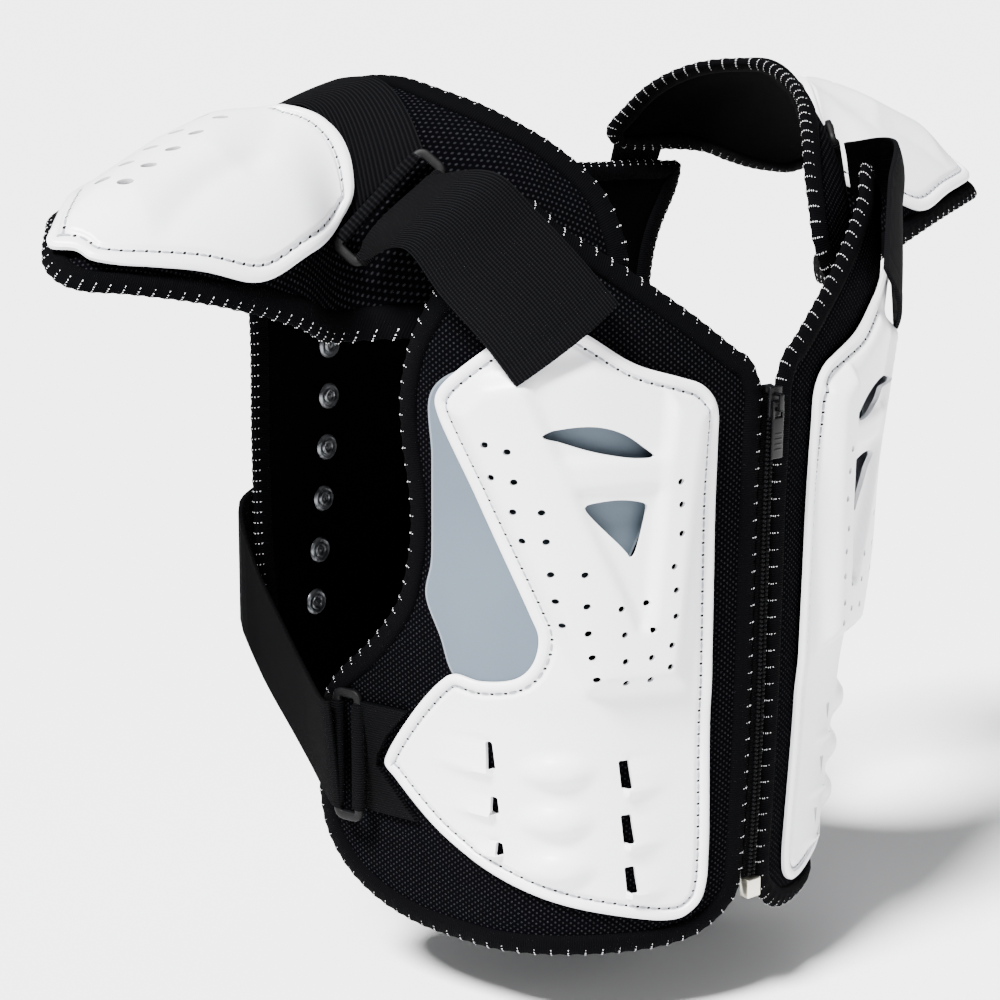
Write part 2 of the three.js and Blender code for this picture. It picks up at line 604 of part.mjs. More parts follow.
// A rivet: inner head with a dished face, shank, outer head
function rivet(a, z) {
  const r = rivetHead / 2;
  const s = rivetShank / 2;
  const inner = -pad - seat;
  const outer = seat + shell + seat;
  const profile = [
    [0, inner - 1.1], [r * 0.55, inner - 1.6], [r, inner], [s, inner],
    [s, outer], [r * 0.8, outer], [0, outer + 1.4],
  ].map(([x, y]) => new THREE.Vector2(x, y));
  const at = spine(a, z);
  const outward = spine(a, z, 1).sub(at);
  const turn = new THREE.Quaternion().setFromUnitVectors(new THREE.Vector3(0, 1, 0), outward.normalize());
  return [turned(profile, 10), at, turn];
}

// Strap laid through stations of [form, one edge, other edge, lift, lift of the other edge]; the edges
// are points of the form
function ribbon(stations, thick, parts = 3) {
  const { lerp } = THREE.MathUtils;
  const row = ([form, from, to, lift, liftTo = lift], d) => Array.from({ length: parts + 1 }, (_, i) => {
    const t = i / parts;
    return form(lerp(from[0], to[0], t), lerp(from[1], to[1], t), lerp(lift, liftTo, t) + d);
  });
  return sweep(stations.map((s) => [...row(s, thick), ...row(s, 0).reverse()]), false);
}

// Solids from boxes and rods joined
const block = (x, y, z, wide, deep, tall) => toSolid(
  new THREE.BoxGeometry(wide, deep, tall).translate(x, y, z),
);
function fromSolid(solid) {
  const { vertProperties, triVerts } = solid.getMesh();
  const threes = (list) => (
    Array.from({ length: list.length / 3 }, (_, i) => [...list.slice(3 * i, 3 * i + 3)])
  );
  return closed(threes(vertProperties).map((p) => new THREE.Vector3(...p)), threes(triVerts));
}

// Frame of a place on a form: the axes follow its first and second coordinates, Z points out
function seatedAt(form, a, b, d) {
  const at = form(a, b, d);
  const x = form(a + 1, b, d).sub(form(a - 1, b, d)).normalize();
  const out = new THREE.Vector3().crossVectors(x, form(a, b + 1, d).sub(form(a, b - 1, d))).normalize();
  out.multiplyScalar(Math.sign(out.dot(form(a, b, d + 1).sub(at))));
  return new THREE.Matrix4().makeBasis(x, new THREE.Vector3().crossVectors(out, x), out).setPosition(at);
}

// Rectangular strap ring with cut corners, lying in XY, its slot for a strap along X
function strapRing(inside, across) {
  const rect = (w, h, c) => [
    [w - c, -h], [w, c - h], [w, h - c], [w - c, h], [c - w, h], [-w, h - c], [-w, c - h], [c - w, -h],
  ].map(([x, y]) => new THREE.Vector2(x, y));
  const shape = new THREE.Shape(rect(inside / 2 + ringBar, across / 2 + ringBar, ringBar));
  shape.holes = [new THREE.Path(rect(inside / 2, across / 2, 1))];
  const g = new THREE.ExtrudeGeometry(shape, { depth: ringThick, bevelEnabled: false, steps: 1 });
  return fromSolid(toSolid(g));
}

// Zip: a strip of constant section down the front, from one drop to another
const zipDrops = (top, bottom) => (
  Array.from({ length: 9 }, (_, i) => -THREE.MathUtils.lerp(top, bottom, i / 8))
);
const zipStrip = (top, bottom, near, far, low, high) => sweep(zipDrops(top, bottom).map((z) => {
  const at = (x, d) => chest(0, z, 0).add(new THREE.Vector3(x, -d, 0));
  return [at(near, high), at(far, high), at(far, low), at(near, low)];
}), false);
const coilLow = -coilThick;
const tapeHigh = coilLow - gap;
const tapeLow = tapeHigh - tapeThick;
const wedgeTall = 3.4;
const boxTall = 8.5;
const coilTop = zipTop + wedgeTall + gap;
const coilBottom = zipBottom - boxTall - gap;
const tapeGeometry = zipStrip(coilTop, coilBottom, slit, zipGap - tapeClear, tapeLow, tapeHigh);
const coilGeometry = zipStrip(coilTop, coilBottom, slit, slit + coil, coilLow, 0);

// Slider: front and back plates joined by a wedge above the coils, and a bridge that holds the pull
const sliderWide = 2 * (zipGap - tapeClear - gap);
const plateFront = -gap; // back face of the front plate; the wearer's front is -Y
const bridgeHalf = 1.2;
const bridgeBar = 1.2;
const bridgeHole = pullThick + 0.8;
const bridgeLong = 5.2;
const faceY = plateFront - sliderPlate;
const hingeY = faceY - bridgeHole / 2;
const backFace = -tapeLow + gap;
const sliderBody = [
  block(0, plateFront - sliderPlate / 2, 0, sliderWide, sliderPlate, sliderLong),
  block(0, backFace + sliderPlate / 2, 0, sliderWide, sliderPlate, sliderLong),
  block(0, (faceY + backFace + sliderPlate) / 2, (sliderLong - wedgeTall) / 2,
    2 * coil, backFace + sliderPlate - faceY, wedgeTall),
  block(0, faceY - (bridgeHole + bridgeBar) / 2, (bridgeLong + bridgeBar) / 2,
    2 * bridgeHalf, bridgeHole + bridgeBar, bridgeBar),
  block(0, faceY - (bridgeHole + bridgeBar) / 2, -(bridgeLong + bridgeBar) / 2,
    2 * bridgeHalf, bridgeHole + bridgeBar, bridgeBar),
  block(0, faceY - bridgeHole - bridgeBar / 2, 0, 2 * bridgeHalf, bridgeBar, bridgeLong + 2 * bridgeBar),
].reduce((a, b) => a.add(b));

// Pull: a pin through the bridge, two arms beside it and a plate, hanging from the pin at the origin
const armWide = 1.1;
const armLong = 6.4;
const pin = new THREE.CylinderGeometry(pullThick / 2, pullThick / 2, pullWide, 10).rotateZ(Math.PI / 2);
const pullBody = [
  toSolid(pin),
  ...[-1, 1].map((k) => block(k * (pullWide - armWide) / 2, 0, -armLong / 2, armWide, pullThick, armLong)),
  block(0, 0, -(armLong + pullLong) / 2, pullWide, pullThick, pullLong - armLong),
].reduce((a, b) => a.add(b));
const slider = new THREE.Group();
{
  const middle = -zipTop - sliderLong / 2;
  const lean = chest(0, middle + 5).sub(chest(0, middle - 5));
  slider.position.copy(chest(0, middle));
  slider.rotation.x = Math.atan2(-lean.y, lean.z);
}
const endBox = block(
  0, (-gap - tapeLow) / 2 - gap, -boxTall / 2, 2 * zipGap - 2, gap - tapeLow + sliderPlate, boxTall,
);

// Shoulder band and ring lie on the wing. The band runs along the arch from behind the ridge, under
// the cap's edge, to the ring, which lies askew: [inner edge, outer edge] of each
const bandOut = [0.428, 0.53]; // as shares of span
const bandDrift = 0.07; // share of span that the band moves in, on its way to the back panel
const bandRear = 0.985; // share of the arch where it leaves the wing
const bandLaps = [0.155, 0.23]; // drops where it lies on the back panel
const bandFore = [-0.46, -0.66];
const ringTurn = 0.065; // share of the arch from the band's end to the ring's middle
const archAt = (k, t) => {
  const x = (bandOut[k] - bandDrift * ramp(t / bandRear)) * span;
  const { foreLength, rearLength } = arches(x);
  return [x, t * (t < 0 ? foreLength : rearLength)];
};
const bandLift = bindingLip + seat;
const bandSolid = ribbon([
  ...Array.from({ length: 11 }, (_, i) => [
    wing, archAt(0, THREE.MathUtils.lerp(bandFore[0], bandRear, i / 10)),
    archAt(1, THREE.MathUtils.lerp(bandFore[1], bandRear, i / 10)), bandLift,
  ]),
  ...bandLaps.map((z) => [
    spine, ...[0, 1].map((k) => [archAt(k, bandRear)[0], -z * drop]), bandLift,
  ]),
], bandThick);
const ringEnds = [0, 1].map((k) => wing(...archAt(k, bandFore[k] - ringTurn), ringLift + k * ringTilt));
const ringMatrix = (() => {
  const x = ringEnds[1].clone().sub(ringEnds[0]);
  const middle = ringEnds[0].clone().add(ringEnds[1]).divideScalar(2);
  const [a, b] = [0, 1].map((i) => (archAt(0, bandFore[0])[i] + archAt(1, bandFore[1])[i]) / 2);
  const out = wing(a, b, 1).sub(wing(a, b));
  const y = new THREE.Vector3().crossVectors(out, x).normalize();
  x.normalize();
  return new THREE.Matrix4().makeBasis(x, y, new THREE.Vector3().crossVectors(x, y)).setPosition(middle);
})();
const shoulderRing = strapRing(ringEnds[0].distanceTo(ringEnds[1]) + 2, ringSlot).applyMatrix4(ringMatrix);

// Shoulder strap: over the ring's front bar, down the chest and over the plate's top corner
const clearLift = ringLift + ringThick + 3.2 * seat;
// [girth and drop of its inner edge, of its outer edge, lift as a share of clearLift]
const strapRows = [
  [0.55, 0.118, 0.735, 0.19, 0.315], [0.48, 0.133, 0.655, 0.222, 0.433],
  [0.42, 0.182, 0.59, 0.27, 0.63], [0.362, 0.231, 0.53, 0.3185, 0.955],
];
const shoulderStrap = ribbon([
  [wing, archAt(0, bandFore[0] - 0.1), archAt(1, bandFore[1] - 0.1), clearLift, clearLift + 2 * ringTilt],
  [wing, archAt(0, bandFore[0] - 0.15), archAt(1, bandFore[1] - 0.15), clearLift, clearLift + ringTilt],
  ...strapRows.map(([s0, z0, s1, z1, lift]) => [
    chest, [s0 * girth, -z0 * drop], [s1 * girth, -z1 * drop], lift * clearLift,
  ]),
], strapThick);

// Side tab, ring and strap: the tab is sewn to the front panel beside the plate's outer corner
const tabEdge = [
  [0.87, 0.722], [0.755, 0.722], [0.806, 0.758], [0.83, 0.786], [0.832, 0.8], [0.805, 0.816],
  [0.755, 0.846], [0.728, 0.86], [0.87, 0.86],
];
const tabSolid = bend(
  tabEdge.map(point), [], seat, seat + strapThick, [cellWide, cellTall], chest,
);
const sideRingAt = [0.893 * girth, -0.791 * drop];
const sideLift = seat + strapThick + 3.5 * gap;
const sideRing = strapRing(webbing + 2, ringSlot)
  .applyMatrix4(new THREE.Matrix4().makeRotationZ(Math.PI / 2))
  .applyMatrix4(seatedAt(chest, sideRingAt[0], sideRingAt[1], sideLift));

// Side strap from the ring's rear bar round to the back panel's outer face. Between them its middle line
// runs free through [share of the way, bulge as a share of webbing, drop, lean of backHalfWidth]; its
// width stands nearly upright, the top leaning out
const sideRows = [
  [0.25, -0.015, 0.753, 0.024], [0.45, 0, 0.715, 0.02], [0.77, 0.034, 0.65, 0.01], [0.93, 0.056, 0.6, 0],
];
const strapLaps = [[1.025, 0.577], [0.965, 0.565], [0.885, 0.56]]; // out and drop where it lies on the back
const level = (p) => new THREE.Vector2(p.x, p.y);
const [barFore, barRear] = [0, ringBar].map((reach) => (
  chest(sideRingAt[0] + ringSlot / 2 + reach, sideRingAt[1], sideLift + ringThick + 4 * gap)
));
const laps = strapLaps.map(([a, z]) => spine(a * backHalfWidth, -z * drop, bindingLip + 2 * seat));
const freeWay = level(laps[0]).sub(level(barRear));
const freeOut = new THREE.Vector2(freeWay.y, -freeWay.x).normalize();
const sideStations = [
  ...[barFore, barRear].map((p) => [level(p), p.z, sideRows[0][3]]),
  ...sideRows.map(([t, bulge, z, lean]) => [
    level(barRear).addScaledVector(freeWay, t).addScaledVector(freeOut, bulge * webbing), -z * drop, lean,
  ]),
  ...laps.map((p) => [level(p), p.z, 0]),
];
const sideStrap = sweep(sideStations.map(([here, z, lean], i) => {
  const tip = lean * backHalfWidth;
  const neighbours = [Math.max(i - 1, 0), Math.min(i + 1, sideStations.length - 1)];
  const [p, q] = neighbours.map((k) => sideStations[k][0]);
  const along = q.clone().sub(p).normalize();
  const out = new THREE.Vector2(along.y, -along.x).multiplyScalar(strapThick);
  const low = z - webbing / 2;
  const high = z + webbing / 2;
  return [
    new THREE.Vector3(here.x - tip, here.y, low), new THREE.Vector3(here.x + tip, here.y, high),
    new THREE.Vector3(here.x + out.x + tip, here.y + out.y, high),
    new THREE.Vector3(here.x + out.x - tip, here.y + out.y, low),
  ];
}), false);

// Materials
const look = (color, roughness, metalness = 0) => (
  new THREE.MeshStandardMaterial({ color, roughness, metalness })
);
const meshCloth = look('#141416', 0.9);
const bindingTape = look('#0c0c0d', 0.85);
const web = look('#101011', 0.9);
const whiteShell = look('#f2f2f4', 0.35);
const greySheet = look('#8d99a4', 0.5);
const blackPlastic = look('#26272a', 0.5);
const zipTape = look('#0d0d0e', 0.85);
const zipBlack = look('#151517', 0.4, 0.6);
const gunmetal = look('#4a4d50', 0.35, 0.9);
const nickel = look('#c9c6ba', 0.35, 0.9);

const vest = new THREE.Group();
function add(name, geometry, material) {
  const mesh = new THREE.Mesh(geometry, material);
  mesh.name = name;
  vest.add(mesh);
  return mesh;
}
function pair(name, geometry, material) {
  add(`${name}_left`, geometry, material);
  add(`${name}_right`, mirrored(geometry), material);
}

pair('front_panel', panel(frontEdge, chest), meshCloth);
pair('front_binding', bind(frontEdge, chest), bindingTape);
pair('chest_plate', plateSolid, whiteShell);
pair('vent_backing', ventSheet, greySheet);
pair('shoulder_wing', panel(wingOutline, wing), meshCloth);
pair('wing_binding', bind(wingOutline, wing), bindingTape);
pair('shoulder_cap', capSolid, whiteShell);
add('back_panel', backCore, meshCloth);
add('back_binding', bind(backEdge, spine), bindingTape);
add('back_shell', backShell, whiteShell);
rivetRows.forEach(([a, z], i) => {
  for (const [side, k] of [['left', 1], ['right', -1]]) {
    const [g, at, turn] = rivet(k * a, z);
    const mesh = add(`rivet_${side}_${i + 1}`, g, gunmetal);
    mesh.position.copy(at);
    mesh.quaternion.copy(turn);
  }
});

pair('zip_tape', tapeGeometry, zipTape);
pair('zip_coil', coilGeometry, zipBlack);
vest.add(slider);
slider.add(add('zip_slider', fromSolid(sliderBody), zipBlack));
const pull = add('zip_pull', fromSolid(pullBody), zipBlack);
pull.position.y = hingeY;
slider.add(pull);
add('zip_box', fromSolid(endBox), nickel).position.copy(chest(0, boxTall - zipBottom));
pair('shoulder_band', bandSolid, web);
pair('shoulder_ring', shoulderRing, blackPlastic);
pair('shoulder_strap', shoulderStrap, web);
pair('side_tab', tabSolid, web);
pair('side_ring', sideRing, blackPlastic);
pair('side_strap', sideStrap, web);

export default vest;
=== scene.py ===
# %% [markdown]
# A motorcycle armour vest, dressed for the camera. The solids of the vest are already packed and say
# where everything is. This lesson builds the fine surfaces around them: padded mesh panels with
# whip-stitched bindings, moulded plates, webbing, rings, rivets and a zip.
#
# Nearly every piece starts flat, as a pattern on the cutting table does, and is then bent onto the
# body by the same form that the solids follow. Flat work is easy: outlines, rims, holes and stitches
# are laid out in millimetres, and one mapping puts them all in place.

# %% Load the frame
import math

import bmesh
import bpy
import numpy as np
from mathutils import Matrix, Quaternion, Vector


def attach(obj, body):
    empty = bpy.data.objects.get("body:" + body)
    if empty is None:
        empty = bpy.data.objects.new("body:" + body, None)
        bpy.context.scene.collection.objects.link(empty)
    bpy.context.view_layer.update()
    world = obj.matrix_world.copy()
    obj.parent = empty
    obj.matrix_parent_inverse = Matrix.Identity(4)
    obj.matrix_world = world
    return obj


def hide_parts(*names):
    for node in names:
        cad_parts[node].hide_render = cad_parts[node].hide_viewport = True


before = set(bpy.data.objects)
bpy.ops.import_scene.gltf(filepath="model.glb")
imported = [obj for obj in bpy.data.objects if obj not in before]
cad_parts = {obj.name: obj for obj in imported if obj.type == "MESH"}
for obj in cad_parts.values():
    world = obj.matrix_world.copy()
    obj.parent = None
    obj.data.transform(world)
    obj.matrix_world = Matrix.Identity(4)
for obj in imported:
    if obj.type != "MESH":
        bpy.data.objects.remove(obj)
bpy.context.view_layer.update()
MM = 0.001
print(len(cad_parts), "nodes in the frame")

# %% [markdown]
# The camera stands where the photograph was taken from: to the wearer's right, a little above the
# chest, with a long lens. Its place was found by fitting the vest's own symmetry to the picture, so
# it is written as a place and two angles. Whatever else is made, this comes first.

# %% Camera
CAMERA_PLACE = Vector((-0.8254, -0.8515, 0.0610))
CAMERA_AZIMUTH = math.radians(-41.93)
CAMERA_ELEVATION = math.radians(12.05)
CAMERA_LENS = 97.2

back = Vector((
    math.sin(CAMERA_AZIMUTH) * math.cos(CAMERA_ELEVATION),
    -math.cos(CAMERA_AZIMUTH) * math.cos(CAMERA_ELEVATION),
    math.sin(CAMERA_ELEVATION),
))
camera = bpy.data.objects.new("camera", bpy.data.cameras.new("camera"))
bpy.context.scene.collection.objects.link(camera)
camera.data.lens = CAMERA_LENS
camera.data.sensor_width = 36
camera.location = CAMERA_PLACE
camera.rotation_mode = "QUATERNION"
camera.rotation_quaternion = (-back).to_track_quat("-Z", "Y")
bpy.context.scene.camera = camera
print("camera", tuple(round(c, 3) for c in camera.location))

# %% [markdown]
# Colours are written as they read on screen, in sRGB hex, and one function turns them into the
# linear values that a shader works in. One more function adds a shader node with its settings and
# links, so that a material reads as a list of what it is made of.

# %% Colour and node helpers
def linear(code):
    """Linear RGBA of an sRGB hex colour."""
    parts = [int(code[i:i + 2], 16) / 255 for i in (1, 3, 5)]
    return (*(c / 12.92 if c <= 0.04045 else ((c + 0.055) / 1.055) ** 2.4 for c in parts), 1.0)


def add_node(tree, kind, inputs=None, **settings):
    """A new node with its settings, its inputs set to values or linked to other nodes' outputs."""
    made = tree.nodes.new("ShaderNode" + kind)
    for name, value in settings.items():
        setattr(made, name, value)
    for name, value in (inputs or {}).items():
        if isinstance(value, bpy.types.NodeSocket):
            tree.links.new(value, made.inputs[name])
        else:
            made.inputs[name].default_value = value
    return made


def new_material(name, color, roughness, **shader):
    """A material with its principled shader, and the shader's own sockets set."""
    material = bpy.data.materials.new(name)
    material.use_nodes = True
    shading = material.node_tree.nodes["Principled BSDF"]
    shading.inputs["Base Color"].default_value = linear(color)
    shading.inputs["Roughness"].default_value = roughness
    for socket, value in shader.items():
        shading.inputs[socket.replace("_", " ")].default_value = value
    return material, material.node_tree, shading


def math_node(tree, operation, a, b=0.0, c=0.0):
    return add_node(tree, "Math", {0: a, 1: b, 2: c}, operation=operation).outputs[0]


def bump_from(tree, shading, height, distance, strength=1.0):
    bump = add_node(tree, "Bump", {"Height": height, "Distance": distance, "Strength": strength})
    tree.links.new(bump.outputs[0], shading.inputs["Normal"])
    return bump


# %% [markdown]
# The cloth of the panels is an air mesh, a knitted polyester spacer cloth. To the eye it is nearly
# black with rows of small lighter knots, each row shifted by half a step. The knots are about 1 mm
# wide on a 3.3 mm step. The pattern reads the piece's own UV map, which keeps the flat pattern's
# millimetres, so the rows follow the cloth round the body instead of cutting through it.

# %% Air mesh
KNOT_STEP = 3.3
ROW_STEP = 1.25
KNOT_SIZE = 0.62


def flat_mm(tree):
    """Separate X and Y of the piece's UV map, in millimetres of the flat pattern."""
    uv = add_node(tree, "UVMap", uv_map="flat")
    scaled = add_node(tree, "VectorMath", {0: uv.outputs[0], 1: (1000, 1000, 1000)}, operation="MULTIPLY")
    parts = add_node(tree, "SeparateXYZ", {0: scaled.outputs[0]})
    return scaled.outputs[0], parts.outputs[0], parts.outputs[1]


def knot_field(tree, along, across):
    """1 on the knots of the mesh and 0 between them."""
    row = math_node(tree, "FLOOR", math_node(tree, "DIVIDE", across, ROW_STEP))
    shift = math_node(tree, "MULTIPLY", row, KNOT_STEP / 2)
    a = math_node(tree, "PINGPONG", math_node(tree, "ADD", along, shift), KNOT_STEP / 2)
    b = math_node(tree, "PINGPONG", across, ROW_STEP / 2)
    b = math_node(tree, "SUBTRACT", ROW_STEP / 2, b)
    r = math_node(tree, "SQRT", math_node(tree, "ADD", math_node(tree, "POWER", a, 2.0),
                                          math_node(tree, "POWER", b, 2.0)))
    return add_node(tree, "MapRange", {"Value": r, "From Min": KNOT_SIZE, "From Max": KNOT_SIZE * 0.45},
                    interpolation_type="SMOOTHSTEP").outputs[0]


air_mesh, tree, shading = new_material("air_mesh_knitted", "#030304", 0.95, Specular_IOR_Level=0.01)
place, along, across = flat_mm(tree)
knots = knot_field(tree, along, across)
patchy = add_node(tree, "TexNoise", {"Vector": place, "Scale": 0.35, "Detail": 2.0})
lit = math_node(tree, "MULTIPLY", knots, add_node(tree, "MapRange", {
    "Value": patchy.outputs[0], "From Min": 0.3, "From Max": 0.7, "To Min": 0.35, "To Max": 1.0,
}).outputs[0])
tint = add_node(tree, "Mix", {0: lit, 6: linear("#020203"), 7: linear("#1E1E21")}, data_type="RGBA")
tree.links.new(tint.outputs[2], shading.inputs["Base Color"])
bump_from(tree, shading, knots, 0.00035, 0.7)
print("air mesh", KNOT_STEP, "mm step")

# %% [markdown]
# The binding is a folded polyester tape with fine cross ribs, and the inner faces are a smooth
# black lining with a soft nap. Both are plain black, so they differ from the mesh only by their
# grain and sheen. Ribs 0.7 mm apart would not show from here, so they are drawn at 1 mm.

# %% Binding tape and lining
tape_black, tree, shading = new_material("binding_tape_woven", "#030304", 0.9, Specular_IOR_Level=0.02)
place, along, across = flat_mm(tree)
ribs = math_node(tree, "SINE", math_node(tree, "MULTIPLY", along, 2 * math.pi / 1.0))
grain = add_node(tree, "TexNoise", {"Vector": place, "Scale": 1.4, "Detail": 3.0})
rough = math_node(tree, "ADD", math_node(tree, "MULTIPLY", ribs, 0.4), grain.outputs[0])
bump_from(tree, shading, rough, 0.0002)

lining, tree, shading = new_material("lining_brushed", "#020202", 0.95, Specular_IOR_Level=0.01)
grain = add_node(tree, "TexNoise", {"Vector": add_node(tree, "TexCoord").outputs["Object"],
                                    "Scale": 900.0, "Detail": 4.0})
bump_from(tree, shading, grain.outputs[0], 0.0002, 0.6)

thread_white, tree, shading = new_material("polyester_thread_white", "#E9E9EC", 0.5, Sheen_Weight=0.2)
twist = add_node(tree, "TexWave", {"Vector": add_node(tree, "TexCoord").outputs["Object"], "Scale": 1600.0})
bump_from(tree, shading, twist.outputs[1], 0.0001, 0.5)

# %% [markdown]
# Plates and caps are injection moulded polypropylene: white, smooth and satin, with the faint
# unevenness that a mould leaves. The sheet behind the windows is blue-grey foam with a matt skin.

# %% Moulded plastics and foam
white_shell, tree, shading = new_material("polypropylene_moulded_white", "#E6E6EA", 0.34)
wave = add_node(tree, "TexNoise", {"Vector": add_node(tree, "TexCoord").outputs["Object"],
                                   "Scale": 60.0, "Detail": 2.0})
bump_from(tree, shading, wave.outputs[0], 0.0004, 0.12)
smear = add_node(tree, "TexNoise", {"Vector": add_node(tree, "TexCoord").outputs["Object"],
                                    "Scale": 25.0, "Detail": 4.0})
polish = add_node(tree, "MapRange", {"Value": smear.outputs[0], "To Min": 0.28, "To Max": 0.42})
tree.links.new(polish.outputs[0], shading.inputs["Roughness"])

foam_grey, tree, shading = new_material("foam_sheet_blue_grey", "#4A545E", 0.6, Specular_IOR_Level=0.2)
pores = add_node(tree, "TexNoise", {"Vector": add_node(tree, "TexCoord").outputs["Object"],
                                    "Scale": 700.0, "Detail": 3.0})
bump_from(tree, shading, pores.outputs[0], 0.0002, 0.35)
cloud = add_node(tree, "TexNoise", {"Vector": add_node(tree, "TexCoord").outputs["Object"], "Scale": 18.0})
tint = add_node(tree, "Mix", {0: cloud.outputs[0], 6: linear("#46505A"), 7: linear("#535E68")},
                data_type="RGBA")
tree.links.new(tint.outputs[2], shading.inputs["Base Color"])

foam_edge, tree, shading = new_material("foam_sheet_cut_edge", "#666E77", 0.7, Specular_IOR_Level=0.2)
nibs = add_node(tree, "TexNoise", {"Vector": add_node(tree, "TexCoord").outputs["Object"], "Scale": 500.0})
bump_from(tree, shading, nibs.outputs[0], 0.0003)

ring_black, tree, shading = new_material("nylon_moulded_dark", "#060607", 0.55, Specular_IOR_Level=0.12)
wave = add_node(tree, "TexNoise", {"Vector": add_node(tree, "TexCoord").outputs["Object"],
                                   "Scale": 800.0, "Detail": 2.0})
bump_from(tree, shading, wave.outputs[0], 0.00012, 0.4)

# %% [markdown]
# Webbing and the rib mesh of the shoulder bands are woven: long ribs with fine cross threads. The
# ribs of the straps are about 1.4 mm apart, and the band's rows of small openings about 2.3 mm.

# %% Webbing
STRAP_RIB = 1.4
BAND_RIB = 2.2


def woven(name, color, light, rib, thread):
    """Long ribs across the strap's width, broken by cross threads. The colour follows the height: painted
    shade in the grooves, a painted highlight on the rib tops.
    """
    material, tree, shading = new_material(name, color, 0.9, Specular_IOR_Level=0.03)
    place, along, across = flat_mm(tree)
    ridge = math_node(tree, "SINE", math_node(tree, "MULTIPLY", across, 2 * math.pi / rib))
    cross = math_node(tree, "SINE", math_node(tree, "MULTIPLY", along, 2 * math.pi / thread))
    fine = math_node(tree, "MULTIPLY", cross, 0.25)
    height = math_node(tree, "ADD", ridge, fine)
    # The colour follows the rib height: painted shade in the grooves and a painted highlight on the rib tops.
    rib_shade = add_node(tree, "MapRange", {"Value": height, "From Min": -0.6, "From Max": 1.25}).outputs[0]
    tint = add_node(tree, "Mix", {0: rib_shade, 6: linear(color), 7: linear(light)}, data_type="RGBA")
    tree.links.new(tint.outputs[2], shading.inputs["Base Color"])
    bump_from(tree, shading, height, 0.0003, 0.9)
    return material


# The lighter colour of each webbing is the painted highlight on its rib tops.
webbing = woven("webbing_polypropylene_woven", "#030304", "#0E0E10", STRAP_RIB, 0.8)
rib_mesh = woven("rib_mesh_knitted", "#020203", "#0D0D0F", BAND_RIB, 1.5)
twill = woven("webbing_twill_woven", "#050506", "#0F0F10", 0.9, 0.9)
plain_web = woven("webbing_plain_woven", "#030304", "#080809", 1.1, 0.8)

# %% [markdown]
# The metal: zinc slider and pull under black lacquer, a nickel-plated end box, and gunmetal rivets,
# turned and tumbled so that their edges shine. The coils of the zip are black nylon.

# %% Metals and zip
lacquer, tree, shading = new_material("zinc_cast_lacquered", "#030304", 0.4, Specular_IOR_Level=0.15)
wave = add_node(tree, "TexNoise", {"Vector": add_node(tree, "TexCoord").outputs["Object"], "Scale": 700.0})
bump_from(tree, shading, wave.outputs[0], 0.0001, 0.3)

nickel, tree, shading = new_material("brass_nickel_plated", "#C9C5B6", 0.3, Metallic=1.0)
wave = add_node(tree, "TexNoise", {"Vector": add_node(tree, "TexCoord").outputs["Object"], "Scale": 500.0})
bump_from(tree, shading, wave.outputs[0], 0.0001, 0.3)

gunmetal, tree, shading = new_material("brass_gunmetal_plated", "#6A6C6F", 0.3, Metallic=1.0)
wear = add_node(tree, "TexNoise", {"Vector": add_node(tree, "TexCoord").outputs["Object"],
                                   "Scale": 450.0, "Detail": 5.0})
polish = add_node(tree, "MapRange", {"Value": wear.outputs[0], "To Min": 0.2, "To Max": 0.5})
tree.links.new(polish.outputs[0], shading.inputs["Roughness"])

coil_nylon, tree, shading = new_material("nylon_coil_black", "#020203", 0.55, Specular_IOR_Level=0.05)
wave = add_node(tree, "TexNoise", {"Vector": add_node(tree, "TexCoord").outputs["Object"], "Scale": 900.0})
bump_from(tree, shading, wave.outputs[0], 0.0001, 0.4)

stitch_grey, tree, shading = new_material("polyester_thread_grey", "#8E9197", 0.55)
twist = add_node(tree, "TexWave", {"Vector": add_node(tree, "TexCoord").outputs["Object"], "Scale": 1500.0})
bump_from(tree, shading, twist.outputs[1], 0.0001, 0.5)
# Painted shade: the colour of the flat discs that stand for the shade inside the needle holes.
painted_hole_shade, tree, shading = new_material("needle_hole_shadow", "#101114", 0.9, Specular_IOR_Level=0.1)
grain = add_node(tree, "TexNoise", {"Vector": add_node(tree, "TexCoord").outputs["Object"], "Scale": 900.0})
bump_from(tree, shading, grain.outputs[0], 0.0001, 0.4)
print(len(bpy.data.materials), "materials")

# %% [markdown]
# The form of the body. The same three mappings shape every solid of the vest: `chest` for the front
# (distance round the body from the zip, height, depth), `spine` for the back board and `wing` for
# the arches over the shoulders. A table gives a few sections as shares of the driving sizes, and a
# smooth interpolation fills in between. They work on whole arrays, because a panel has tens of
# thousands of points.

# %% Driving sizes, mm
GIRTH = 220
DROP = 372
CHEST_REACH = 100
BACK_REACH = 106
SPAN = 274
SHOULDER_RISE = 100
BACK_RADIUS = 700
BACK_HALF = 124.5
BACK_DROP = 338
PAD = 4
BINDING = 9.5
LIP = 1.2
SHELL = 2.2
SEAT = 0.8
GAP = 0.35
BACKING = 0.6
WEB = 50
STRAP = 2.2
ZIP_GAP = 5
SIDE_HEADING = math.radians(80)


# %% Smooth interpolation in the rows of a table
def blend(rows, x):
    """Columns of a table at x, whose first column is the abscissa. Returns one array per column."""
    table = np.array(rows, float)
    if table[0, 0] > table[-1, 0]:
        table = table[::-1]
    knots, values = table[:, 0], table[:, 1:]
    at = np.clip(np.asarray(x, float), knots[0], knots[-1])
    i = np.clip(np.searchsorted(knots, at, side="left") - 1, 0, len(knots) - 2)
    low = np.maximum(np.arange(len(knots)) - 1, 0)
    high = np.minimum(np.arange(len(knots)) + 1, len(knots) - 1)
    slopes = (values[high] - values[low]) / (knots[high] - knots[low])[:, None]
    h = (knots[i + 1] - knots[i])
    t = ((at - knots[i]) / h)[..., None]
    h = h[..., None]
    p, q, m, n = values[i], values[i + 1], slopes[i] * h, slopes[i + 1] * h
    out = p + t * (m + t * (3 * (q - p) - 2 * m - n + t * (2 * (p - q) + m + n)))
    return np.moveaxis(out, -1, 0)


